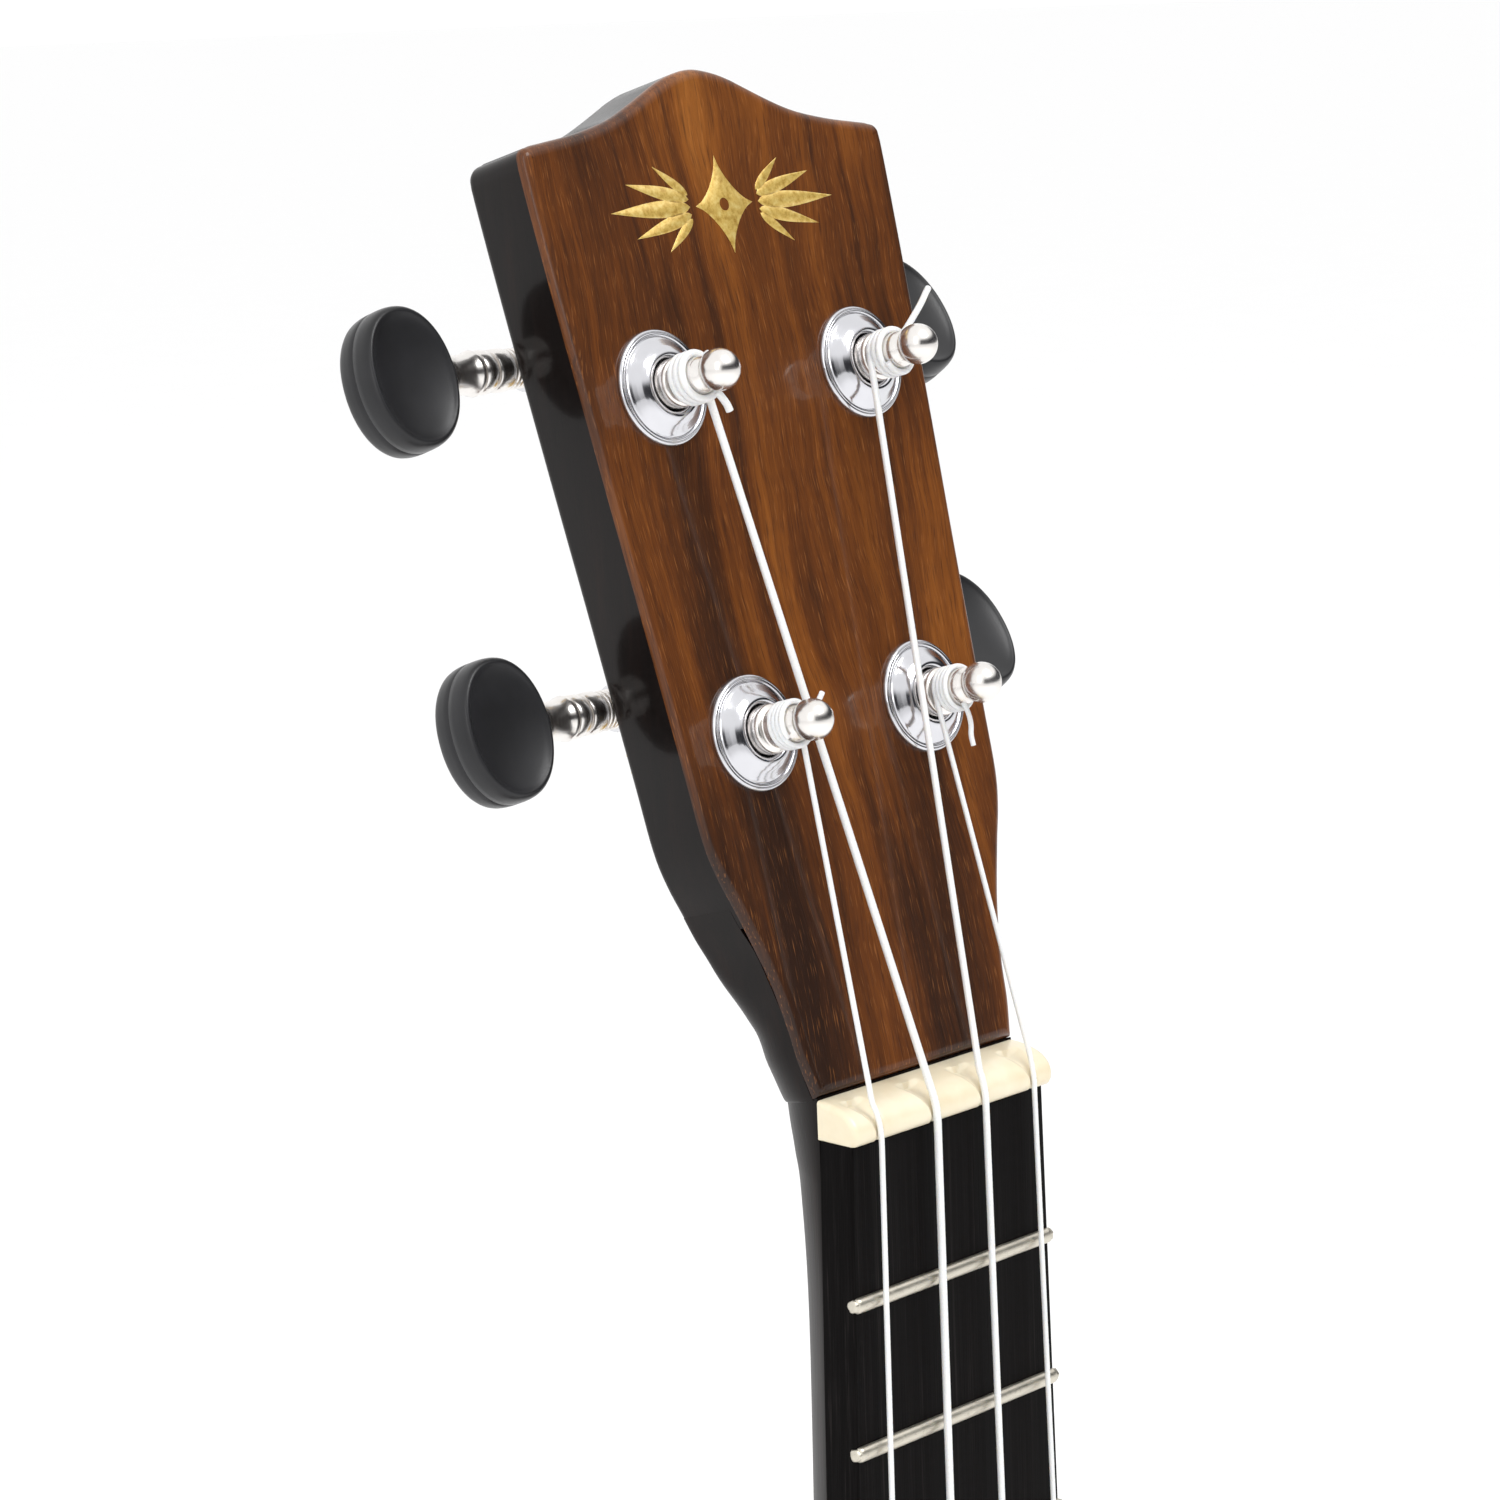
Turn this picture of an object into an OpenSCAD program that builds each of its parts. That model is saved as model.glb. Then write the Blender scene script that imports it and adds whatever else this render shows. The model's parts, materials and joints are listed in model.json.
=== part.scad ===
// Soprano ukulele, built from separate pieces.
// Frame: +Z runs along the neck towards the headstock, the strings face -Y,
// +X is the player's treble side as seen from the front. The origin is the
// hanger seat, just above the nut where the neck flares into the headstock.

/* [Scale and neck] */
// String length from nut to saddle
scale_len = 345; // [330:1:360]
// Fingerboard width at the nut
nut_w = 35; // [33:0.5:38]
// Fingerboard thickness
board_t = 5; // [4:0.5:6]
// Number of frets
fret_count = 15; // [12:1:17]
// Depth of the neck below the fingerboard at the nut
neck_depth = 13; // [11:0.5:15]

/* [Headstock] */
// Backward tilt of the headstock in degrees
head_tilt = 14.8; // [10:0.2:17]
// Thickness of the headstock with its face veneer
head_t = 10.5; // [9:0.5:12]
// Thickness of the face veneer
veneer_t = 1.3; // [0.8:0.1:1.6]
// Distance of the upper posts above the nut, along the face
upper_s = 85.9; // [80:0.1:90]
// Distance of the lower posts above the nut, along the face
lower_s = 44; // [40:0.1:48]
// Sideways distance of the upper posts from the centre line
upper_x = 17.4; // [15:0.1:19]
// Sideways distance of the lower posts from the centre line
lower_x = 15.1; // [13:0.1:17]

/* [Body] */
// Depth of the body from the top face to the back face
body_depth = 60; // [50:1:66]
// Thickness of the top plate
top_t = 2; // [1.6:0.1:2.6]
// Thickness of the back plate
back_t = 2; // [1.6:0.1:2.6]
// Thickness of the ribs
rib_t = 1.8; // [1.4:0.1:2.4]
// Diameter of the sound hole
hole_d = 50; // [40:1:54]
// Distance of the sound hole below the nut
hole_z = 238; // [232:1:244]

/* [Tuning machines] */
// Length of the button along its shaft
button_l = 12.8; // [12:0.2:14]
// Width of the button across its shaft
button_w = 17.2; // [15:0.2:20]
// Thickness of the button
button_t = 5.9; // [5:0.1:8]
// Angle of the left buttons about their shafts at rest
left_turn = -4; // [-30:1:30]
// Angle of the right buttons about their shafts at rest
right_turn = -20; // [-30:1:30]
// Number of teeth on the post wheel
teeth = 12; // [12:1:12]
// Distance between the post axis and the worm axis
centre_d = 6.6; // [6.6:0.1:6.6]

/* [Hidden] */
$fn = 48;
y0 = 4.4;            // the face line of the headstock starts this far behind the board surface
z0 = 4.8;            // and this far above the front edge of the nut
top_y = board_t;
back_y = board_t + body_depth;
body_z = 172.5;      // the body joint is at the twelfth fret
taper = 0.0225;      // growth of the half width per millimetre down the neck
shaft_h = -15.2;     // height of the worm axis below the headstock face
pitch = 0.7 * 3.14159265;

// ---- small helpers -------------------------------------------------------
module row() { translate([0, -12, -14]) children(); }
module hs() { row() translate([0, y0, z0]) rotate([90 - head_tilt, 0, 0]) children(); }
// a point of the headstock, given across, along and out of its face
function hp(x, s, h) = [x, y0 + s * sin(head_tilt) - h * cos(head_tilt),
                        z0 + s * cos(head_tilt) + h * sin(head_tilt)];
function unit(v) = v / norm(v);
function fz(n) = -scale_len * (1 - pow(2, -n / 12));
function half_w(z) = nut_w / 2 - taper * z;

module loft(R) {
  k = len(R[0]); n = len(R);
  polyhedron(points = [for (r = R) each r], faces = concat(
    [[for (j = [0:k - 1]) j]],
    [for (i = [0:n - 2], j = [0:k - 1]) [i * k + j, (i + 1) * k + j, i * k + (j + 1) % k]],
    [for (i = [0:n - 2], j = [0:k - 1]) [(i + 1) * k + j, (i + 1) * k + (j + 1) % k, i * k + (j + 1) % k]],
    [[for (j = [k - 1:-1:0]) (n - 1) * k + j]]));
}
// round tube along a line of points that stays near the centre plane
function tube_rings(P, r, m) = [for (i = [0:len(P) - 1])
  let (t = unit(P[min(i + 1, len(P) - 1)] - P[max(i - 1, 0)]), a = unit(cross([1, 0, 0], t)), b = cross(t, a))
  [for (j = [0:m - 1]) P[i] + r * (cos(360 * j / m) * a + sin(360 * j / m) * b)]];
module tube(P, r, m = 8) { loft(tube_rings(P, r, m)); }

// ---- body outline --------------------------------------------------------
// half outline as [x, z] below the nut, from the neck joint to the tail
half_pts = [[0, 172.6], [12, 172.6], [23, 173.4], [40, 178.5], [54, 188.5], [62.5, 201], [65, 215],
  [62.8, 232], [57.5, 250], [54.5, 267], [57, 285], [66, 304], [77, 321], [84.2, 336], [86, 351],
  [82.8, 370], [74, 387], [60, 399.5], [42, 408], [21, 412], [0, 412.5]];
full_pts = concat(half_pts, [for (i = [len(half_pts) - 2:-1:1]) [-half_pts[i][0], half_pts[i][1]]]);
function cr(a, b, c, d, t) = 0.5 * ((2 * b) + (c - a) * t + (2 * a - 5 * b + 4 * c - d) * t * t
  + (3 * b - a - 3 * c + d) * t * t * t);
function spline(P, q) = let (n = len(P)) [for (i = [0:n - 1], j = [0:q - 1])
  cr(P[(i + n - 1) % n], P[i], P[(i + 1) % n], P[(i + 2) % n], j / q)];
outline = spline(full_pts, 3);
function inset(P, d) = let (n = len(P)) [for (i = [0:n - 1])
  let (t = unit(P[(i + 1) % n] - P[(i + n - 1) % n])) P[i] + d * [-t[1], t[0]]];
// body layers: a flat shape in x and z-below-nut, from depth a to depth b
module layer(a, b) { row() translate([0, b, 0]) rotate([90, 0, 0]) linear_extrude(b - a) mirror([0, 1]) children(); }

module top_plate() color("#6a3418") difference() {
  layer(top_y, top_y + top_t) difference() {
    polygon(outline);
    translate([0, hole_z]) circle(d = hole_d, $fn = 96);
  }
  layer(top_y - 1, top_y + 0.8) translate([0, hole_z]) difference() { circle(r = 33, $fn = 96); circle(r = 29, $fn = 96); }
}
module back_plate() color("#63301a") layer(back_y - back_t, back_y) polygon(outline);
module rib(side) color("#5b2c17") layer(top_y + top_t, back_y - back_t) intersection() {
  difference() { polygon(outline); polygon(inset(outline, rib_t)); }
  translate([side > 0 ? 0.05 : -120, 160]) square([119.95, 260]);
}
module rib_bass() rib(-1);
module rib_treble() rib(1);
module neck_block() color("#b98a58") layer(top_y + top_t, back_y - back_t) intersection() {
  polygon(inset(outline, rib_t + 0.02));
  translate([-24, 170]) square([48, 20]);
}
module tail_block() color("#b98a58") layer(top_y + top_t, back_y - back_t) intersection() {
  polygon(inset(outline, rib_t + 0.02));
  translate([-26, 402]) square([52, 14]);
}
module lining(a, b) color("#c9a070") layer(a, b) difference() {
  polygon(inset(outline, rib_t + 0.02));
  polygon(inset(outline, rib_t + 5));
  translate([-24.2, 165]) square([48.4, 26]);
  translate([-26.2, 400]) square([52.4, 20]);
}
module top_linings() lining(top_y + top_t, top_y + top_t + 5);
module back_linings() lining(back_y - back_t - 5, back_y - back_t);
module brace(a, b, z, w, half) layer(a, b) translate([-half, z - w / 2]) square([2 * half, w]);
module top_braces() color("#d8b684") {
  brace(top_y + top_t, top_y + top_t + 6, 205, 6, 54);
  brace(top_y + top_t, top_y + top_t + 6, 274, 6, 46);
  brace(top_y + top_t, top_y + top_t + 4, 320, 5, 60);
}
module back_braces() color("#d8b684") {
  brace(back_y - back_t - 6, back_y - back_t, 222, 6, 56);
  brace(back_y - back_t - 6, back_y - back_t, 300, 6, 54);
  brace(back_y - back_t - 6, back_y - back_t, 362, 6, 74);
}
module bridge_plate() color("#b98a58") layer(top_y + top_t, top_y + top_t + 2.4) translate([-30, 338]) square([60, 26]);
module rosette() color("#d9c08a") layer(top_y, top_y + 0.78) translate([0, hole_z]) difference() {
  circle(r = 32.98, $fn = 96); circle(r = 29.02, $fn = 96);
}

// ---- bridge --------------------------------------------------------------
bx = [-20, -6.6, 6.9, 20.3];        // string places at the saddle
nx = [-13.8, -3.9, 5.1, 14.4];      // string places at the nut
sd = [0.7, 0.97, 0.85, 0.66];       // string thicknesses
module side_block(x, P) row() translate([-x, 0, 0]) rotate([90, 0, 90]) linear_extrude(2 * x) polygon([for (p = P) [p[1], -p[0]]]);
module bridge() color("#2a1710") difference() {
  union() {
    side_block(40, [[342, 5], [364, 5], [364, 1.6], [362.5, 0.8], [343.5, 0.8], [342, 1.6]]);
    side_block(27, [[342.6, 1], [350.6, 1], [350.6, -1.6], [349.8, -2.4], [344, -2.4], [342.6, -1.4]]);
    side_block(27, [[354.6, 1], [363.4, 1], [363.4, -1.8], [362, -3], [356, -3], [354.6, -1.8]]);
  }
  side_block(26.5, [[345.2, 2.5], [347.8, 2.5], [347.8, -4], [345.2, -4]]);
  row() for (i = [0:3]) translate([bx[i], -1.2, -366]) cylinder(r = 0.75, h = 14, $fn = 24);
}
module saddle() color("#efe6cf") side_block(26.4, [[345.25, 2.45], [347.75, 2.45], [347.75, -4.6], [347.2, -5.2], [346.1, -5.2], [345.25, -4.6]]);

// ---- neck ----------------------------------------------------------------
// one closed half-moon section: origin, tilt, half width, depth, fullness
function sgn(v) = v < 0 ? -1 : 1;
function moon(y, z, f, a, d, m, n) = [for (i = [0:20]) let (c = cos(180 * i / 20), s = sin(180 * i / 20),
  px = a * sgn(c) * pow(abs(c), 2 / m), q = d * pow(max(s, 0), 2 / n))
  [px, y + q * cos(f), z - q * sin(f)]];
function head_ring(s, a, d, m, n) = let (p = hp(0, s, -veneer_t)) moon(p[1], p[2], head_tilt, a, d, m, n);
module neck() color("#3a1d10") row() union() {
  loft(concat([for (r = [[-body_z, 15.5], [-140, 14.6], [-100, 14], [-60, 13.7], [-25, 13.5]])
      moon(top_y, r[0], 0, half_w(r[0]), r[1] + neck_depth - 13, 2, 1.1)],
    [moon(top_y, -9, 0, 17.7, 14, 2, 1.25), moon(top_y, -4, 0, 17.6, 14.5, 2, 1.4),
    moon(top_y, 0.5, 6, 17.6, 14.9, 2, 1.55), moon(top_y, 4.9, head_tilt, 17.7, 14.8, 2.1, 1.75),
    head_ring(0.5, 17.7, 14, 2.1, 1.85), head_ring(5, 18.7, 12.8, 2.4, 2.3), head_ring(10, 19.2, 11, 3.4, 3.2),
    head_ring(15, 20.4, 9.8, 6, 6), head_ring(20, 21.6, 9.2, 30, 30)]));
  loft([for (r = [[13, 18.3, 48], [19, 19.4, 38], [26, 18.4, 27], [35, 16.4, 19.5], [45, 14.4, 15.5], [55, 13, 13.6], [back_y - 3, 12.2, 13]])
      [for (i = [20:-1:0]) [r[1] * cos(180 * i / 20), r[0], -body_z + r[2] * pow(max(sin(180 * i / 20), 0), 0.9)]]]);
}
module neck_dowels() color("#caa26c") row() for (y = [30, 47]) translate([0, y, -188]) cylinder(r = 3.5, h = 24);
module heel_cap() color("#2a1710") row() translate([0, back_y, -body_z]) rotate([90, 0, 0]) linear_extrude(2.95)
  polygon([for (i = [0:20]) [12.2 * cos(180 * i / 20), 13 * pow(max(sin(180 * i / 20), 0), 0.9)]]);

// ---- headstock -----------------------------------------------------------
// half outline as [x, s]
head_pts = [[17.7, 0.5], [18.7, 5], [19.2, 9.5], [20, 13.5], [21.2, 18], [23.3, 24], [25, 28.5], [26, 33], [26.5, 41],
  [27.2, 52], [27.9, 63], [28.6, 73], [29.4, 85], [30.3, 99], [31, 113.2], [30.6, 114.9], [29.4, 115.8],
  [26.9, 116.2], [22.5, 116.8], [18, 117.7], [14.9, 118.6], [11.7, 119.9], [8.2, 121.5], [6, 122.5], [3.3, 123.4], [0, 123.9]];
function head_shape(d) = let (R = [for (p = head_pts) p[0] > 0.5 ? [p[0] - d, p[1]] : p])
  concat(R, [for (i = [len(R) - 2:-1:0]) [-R[i][0], R[i][1]]]);
tuners = [["g", -1, lower_x, lower_s, left_turn, 0], ["c", -1, upper_x, upper_s, left_turn, 1],
          ["e", 1, upper_x, upper_s, right_turn, 2], ["a", 1, lower_x, lower_s, right_turn, 3]];
module each_post() for (t = tuners) translate([t[1] * t[2], t[3], 0]) children();
module head_slab(a, b, s0) translate([0, 0, a]) linear_extrude(b - a) difference() {
  polygon(head_shape(0));
  translate([-60, -20]) square([120, 20 + s0]);
  each_post() circle(r = 4.2);
}
module headstock() color("#2c140b") hs() head_slab(-head_t, -veneer_t, 20);
module head_veneer() color("#7a3d1c") hs() head_slab(-veneer_t, 0, 0.5);

// ---- fingerboard ---------------------------------------------------------
board_end = -203;
dots = [[5, 0], [7, 0], [10, 0], [12, -6], [12, 6], [15, 0]];
function dot_z(n) = (fz(n) + fz(n - 1)) / 2;
module fretboard() color("#15110f") difference() {
  row() translate([0, top_y, 0]) rotate([90, 0, 0]) linear_extrude(board_t)
    polygon([[-half_w(0), 0], [half_w(0), 0], [half_w(board_end), board_end], [-half_w(board_end), board_end]]);
  row() for (d = dots) translate([d[1], 1, dot_z(d[0])]) rotate([90, 0, 0]) cylinder(r = 2.5, h = 2, $fn = 32);
}
module position_dots() color("#ece6d8") row() for (d = dots) translate([d[1], 0.98, dot_z(d[0])])
  rotate([90, 0, 0]) cylinder(r = 2.49, h = 0.98, $fn = 32);
module frets() color("#c9c4b4") row() for (n = [1:fret_count]) translate([-half_w(fz(n)) + 0.2, 0, fz(n)])
  rotate([90, 0, 90]) linear_extrude(2 * half_w(fz(n)) - 0.4)
  polygon([for (i = [0:8]) [-0.95 * sin(180 * i / 8), 0.8 * cos(180 * i / 8)]]);
module nut() color("#efe3bd") row() translate([-18.2, 0, 0]) rotate([90, 0, 90]) linear_extrude(36.4)
  polygon([[5, 0], [-0.6, 0], [-1.05, 0.5], [-1.3, 1.3], [-1.25, 2.1], [-0.9, 2.7], [-0.2, 3.3], [0.9, 4], [2.6, 4.6], [4.2, 4.85], [5, 4.85]]);

// ---- strings -------------------------------------------------------------
off_h = 4.6;      // height above the face at which a string reaches its post
wind_r = 2.75;    // radius of the middle of the wound string
function string_end(i) = let (t = tuners[i]) hp(t[1] * (t[2] - wind_r), t[3] - 2.9, off_h);
function string_path(i) = let (r = sd[i] / 2, a = [nx[i], -1.3 - r + 0.05, 1.7], b = [nx[i] * 1.012, -0.9 - r + 0.05, 2.8], e = string_end(i))
  concat([[bx[i], -1.2, -364.6], [bx[i], -1.2, -353.6], [bx[i], -2.6, -351.3], [bx[i], -5.2 - r, -347], [bx[i], -5.25 - r, -346.3]],
    [for (k = [1:9]) [bx[i], -5.25 - r, -346.3] * (1 - k / 10) + [nx[i], -1.25 - r, 0.2] * (k / 10)],
    [[nx[i], -1.25 - r, 0.2], a, b],
    [for (k = [1:4]) b * (1 - k / 4) + e * (k / 4)]);
module string(i) color("#f2efe6") row() tube(string_path(i), sd[i] / 2, 8);

// ---- tuning machines -----------------------------------------------------
// local frame: u outboard, v towards the tip, h out of the face
module machine(i) hs() translate([tuners[i][1] * tuners[i][2], tuners[i][3], 0]) mirror([tuners[i][1] < 0 ? 1 : 0, 0, 0]) children();
module along_u(v, h) translate([0, v, h]) rotate([90, 0, 90]) children();

module bushing(i) color("#dfe2e6") machine(i) rotate_extrude($fn = 64) polygon([[3.06, -8], [4.2, -8], [4.2, 0],
  [6.8, 0], [7, 0.25], [6.9, 0.6], [6.5, 0.75], [6.1, 0.62], [5.9, 0.72], [5.5, 1.15], [5, 1.72], [4.6, 2.1], [4.2, 2.3],
  [3.75, 2.3], [3.45, 2.1], [3.35, 1.8], [3.35, 0.6], [3.06, 0.2]]);
module post(i) color("#d6cfc2") machine(i) difference() {
  rotate_extrude($fn = 64) polygon(concat([[0, -17.2], [1.7, -17.2], [1.7, -12.9], [3, -12.9], [3, 2.9], [2.5, 3.3], [2.3, 3.7],
    [2.2, 6.6], [2.1, 7.1], [1.8, 7.7], [1.75, 8]],
    [for (k = [0:7]) let (a = -43 + k * 133 / 7) [2.4 * cos(a) + (k == 7 ? -2.4 * cos(a) : 0), 9.9 + 2.4 * sin(a)]]));
  translate([0, 0, -18]) cylinder(r = 0.9, h = 4.6, $fn = 24);
}
module pinion_screw(i) color("#c8c2b4") machine(i) difference() {
  union() {
    translate([0, 0, -18.7]) cylinder(r = 2.5, h = 1.5, $fn = 32);
    translate([0, 0, -17.3]) cylinder(r = 0.9, h = 3.8, $fn = 24);
  }
  translate([-3, -0.3, -19]) cube([6, 0.6, 0.9]);
}
module winding(i) color("#f2efe6") machine(i) for (k = [0:2]) translate([0, 0, off_h + 0.02 + k * sd[i]])
  rotate_extrude($fn = 48) translate([2.31 + sd[i] / 2, 0]) circle(r = sd[i] / 2 - 0.01, $fn = 16);

// toothed wheel on the post
gear_r = 4.2;
function tooth(k, w1, w2, w3) = let (a = 360 * (k + 0.5) / teeth + 90)
  [for (q = [[3.25, -w3], [gear_r, -w2], [4.7, -w1], [4.7, w1], [gear_r, w2], [3.25, w3]])
    q[0] * [cos(a + q[1]), sin(a + q[1])]];
module pinion(i) color("#c9b27a") machine(i) translate([0, 0, shaft_h]) difference() {
  rotate([0, 0, -4]) linear_extrude(4, center = true, twist = -8, slices = 2) polygon([for (k = [0:teeth - 1]) each tooth(k, 2.9, 5.7, 9.1)]);
  cylinder(r = 1.7, h = 6, center = true);
}
// worm: the section across the axis rises from root to crest and back
function worm_r(a) = let (q = abs(a > 180 ? a - 360 : a) * pitch / 360)
  q < 0.24 ? 3.1 : q < 0.72 ? 3.1 - (q - 0.24) / 0.48 * 1.5 : 1.6;
module worm_thread() loft([for (k = [-38:38]) [for (j = [0:17])
  let (r = worm_r(((j - k) * 20 % 360 + 360) % 360)) [r * cos(j * 20 + 180), r * sin(j * 20 + 180), k * pitch / 18]]]);
module worm(i) color("#cfc6b8") machine(i) along_u(centre_d, shaft_h) union() {
  worm_thread();
  translate([0, 0, -7.8]) cylinder(r = 1.5, h = 3.18);
  translate([0, 0, 4.62]) rotate_extrude($fn = 48) polygon([[0, 0], [1.5, 0], [1.5, 2.62], [2.4, 2.62], [2.4, 4.9], [1.9, 5],
    [1.9, 5.2], [2.45, 5.5], [2.6, 6.2], [2.6, 6.8], [2.45, 7.5], [1.9, 7.8], [1.9, 8.1], [2.5, 8.35], [2.65, 8.8],
    [2.65, 9.5], [2.4, 10], [2.2, 10.2], [2.2, 14], [2.4, 14.6], [2.4, 15.4], [1.4, 15.4], [1.4, 24], [0, 24]]);
}
function oval(a, b, n) = [for (j = [0:n - 1]) [a * cos(360 * j / n), b * sin(360 * j / n)]];
module button(i) color("#141414") machine(i) translate([0, centre_d, shaft_h]) rotate([tuners[i][4], 0, 0]) difference() {
  translate([26.4, 0, 0]) union() {
    translate([0, 0, -button_t / 2 + 0.9]) linear_extrude(button_t - 1.8) polygon(oval(button_l / 2, button_w / 2, 48));
    translate([0, 0, -button_t / 2]) linear_extrude(button_t) polygon(oval(button_l / 2 - 0.7, button_w / 2 - 0.7, 48));
  }
  translate([18, 0, 0]) rotate([0, 90, 0]) cylinder(r = 1.42, h = 10.9, $fn = 32);
}
module ear_shape() union() { translate([centre_d, shaft_h]) circle(r = 2.9); translate([centre_d - 2.9, shaft_h]) square([5.8, 3.6]); }
module tuner_plate(i) color("#cfd2d6") machine(i) difference() {
  union() {
    translate([0, 0, -head_t - 1.2]) linear_extrude(1.2) union() {
      translate([-7, -9.5]) square([14, 23]);
      for (s = [-1, 1]) translate([0, s > 0 ? 13.5 : -9.5]) circle(r = 4.2);
    }
    for (u = [5, -7]) translate([u, 0, 0]) rotate([90, 0, 90]) linear_extrude(2) ear_shape();
  }
  translate([0, 0, -13]) cylinder(r = 3.3, h = 4);
  for (v = [-9.5, 13.5]) translate([0, v, -13]) cylinder(r = 1.25, h = 4, $fn = 24);
  along_u(centre_d, shaft_h) translate([0, 0, -9]) cylinder(r = 1.55, h = 18);
}
module tuner_screws() color("#c8c2b4") for (i = [0:3]) machine(i) for (v = [-9.5, 13.5]) translate([0, v, 0]) difference() {
  union() {
    translate([0, 0, -head_t - 2.3]) cylinder(r = 2.2, h = 1.1, $fn = 32);
    translate([0, 0, -head_t - 1.25]) cylinder(r = 1.2, h = 7.2, $fn = 24);
  }
  translate([-2.5, -0.25, -head_t - 2.6]) cube([5, 0.5, 0.8]);
  translate([-0.25, -2.5, -head_t - 2.6]) cube([0.5, 5, 0.8]);
}

top_plate();
back_plate();
rib_bass();
rib_treble();
neck_block();
tail_block();
top_linings();
back_linings();
top_braces();
back_braces();
bridge_plate();
rosette();
bridge();
saddle();
neck();
neck_dowels();
heel_cap();
headstock();
head_veneer();
fretboard();
frets();
position_dots();
nut();
tuner_screws();
string(0);  // string_g
string(1);  // string_c
string(2);  // string_e
string(3);  // string_a
tuner_plate(0);  // tuner_plate_g
tuner_plate(1);  // tuner_plate_c
tuner_plate(2);  // tuner_plate_e
tuner_plate(3);  // tuner_plate_a
bushing(0);  // bushing_g
bushing(1);  // bushing_c
bushing(2);  // bushing_e
bushing(3);  // bushing_a
worm(0);  // worm_g
worm(1);  // worm_c
worm(2);  // worm_e
worm(3);  // worm_a
button(0);  // button_g
button(1);  // button_c
button(2);  // button_e
button(3);  // button_a
post(0);  // post_g
post(1);  // post_c
post(2);  // post_e
post(3);  // post_a
pinion(0);  // pinion_g
pinion(1);  // pinion_c
pinion(2);  // pinion_e
pinion(3);  // pinion_a
pinion_screw(0);  // pinion_screw_g
pinion_screw(1);  // pinion_screw_c
pinion_screw(2);  // pinion_screw_e
pinion_screw(3);  // pinion_screw_a
winding(0);  // winding_g
winding(1);  // winding_c
winding(2);  // winding_e
winding(3);  // winding_a
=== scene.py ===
import math, json
import bpy, bmesh
import numpy as np
from mathutils import Vector, Matrix, Euler

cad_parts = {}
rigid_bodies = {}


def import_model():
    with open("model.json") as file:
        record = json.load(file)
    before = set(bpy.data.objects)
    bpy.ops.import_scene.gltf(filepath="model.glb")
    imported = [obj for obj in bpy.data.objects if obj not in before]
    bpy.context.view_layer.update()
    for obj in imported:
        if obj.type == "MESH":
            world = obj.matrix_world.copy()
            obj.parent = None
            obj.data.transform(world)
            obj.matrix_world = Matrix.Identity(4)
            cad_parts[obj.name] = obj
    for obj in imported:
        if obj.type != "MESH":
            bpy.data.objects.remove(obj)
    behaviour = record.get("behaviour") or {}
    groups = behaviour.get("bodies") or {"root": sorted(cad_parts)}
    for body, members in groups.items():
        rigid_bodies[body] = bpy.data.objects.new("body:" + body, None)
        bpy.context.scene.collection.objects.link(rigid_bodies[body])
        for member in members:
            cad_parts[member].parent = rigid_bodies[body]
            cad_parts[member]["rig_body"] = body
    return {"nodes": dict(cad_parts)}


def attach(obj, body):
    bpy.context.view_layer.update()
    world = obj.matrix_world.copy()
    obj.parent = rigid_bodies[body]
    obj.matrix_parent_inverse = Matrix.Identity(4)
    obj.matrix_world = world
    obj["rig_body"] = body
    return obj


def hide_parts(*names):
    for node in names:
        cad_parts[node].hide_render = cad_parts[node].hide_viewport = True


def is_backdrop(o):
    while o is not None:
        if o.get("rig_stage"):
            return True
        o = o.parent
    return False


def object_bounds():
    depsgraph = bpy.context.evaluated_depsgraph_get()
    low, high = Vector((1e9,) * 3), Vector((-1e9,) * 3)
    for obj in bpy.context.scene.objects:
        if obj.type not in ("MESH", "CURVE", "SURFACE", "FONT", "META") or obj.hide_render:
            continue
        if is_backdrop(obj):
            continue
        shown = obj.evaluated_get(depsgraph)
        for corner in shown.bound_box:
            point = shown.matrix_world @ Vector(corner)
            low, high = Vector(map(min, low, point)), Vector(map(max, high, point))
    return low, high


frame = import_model()
CAD_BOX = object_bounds()
ROOT = "ukulele_body"
MM = 0.001
TILT = math.radians(14.8)
ES = Vector((0, math.sin(TILT), math.cos(TILT)))      # along the headstock face, towards its tip
EH = Vector((0, -math.cos(TILT), math.sin(TILT)))     # out of the headstock face
HO = Vector((0, 4.4 - 12, 4.8 - 14))                  # headstock face line at the nut, row frame, mm


def N(x, y, z):
    """nut frame (mm) to row frame (m)"""
    return Vector((x, y - 12, z - 14)) * MM


def H(x, s, h):
    """headstock frame (mm) to row frame (m)"""
    return (HO + Vector((x, 0, 0)) + ES * s + EH * h) * MM


M_HEAD = Matrix(((1, ES.x, EH.x, 0), (0, ES.y, EH.y, 0), (0, ES.z, EH.z, 0), (0, 0, 0, 1)))


# ------------------------------------------------------------------ camera
cam_data = bpy.data.cameras.new("cam")
cam = bpy.data.objects.new("cam", cam_data)
bpy.context.scene.collection.objects.link(cam)
CR = Vector((0.68774, -0.72502, -0.03696)).normalized()
CB = -Vector((0.70916, 0.68184, -0.17937)).normalized()
CU = CB.cross(CR).normalized()
CR = CU.cross(CB).normalized()
cm = Matrix((CR, CU, CB)).transposed().to_4x4()
cm.translation = Vector((-0.35702874, -0.32442939, 0.11774434))
cam.matrix_world = cm
cam_data.sensor_width = 36
cam_data.lens = 98.027
cam_data.clip_start = 0.01
cam_data.clip_end = 200
bpy.context.scene.camera = cam
bpy.context.scene.view_settings.view_transform = "Standard"

# ------------------------------------------------------------------ node helpers


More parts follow.
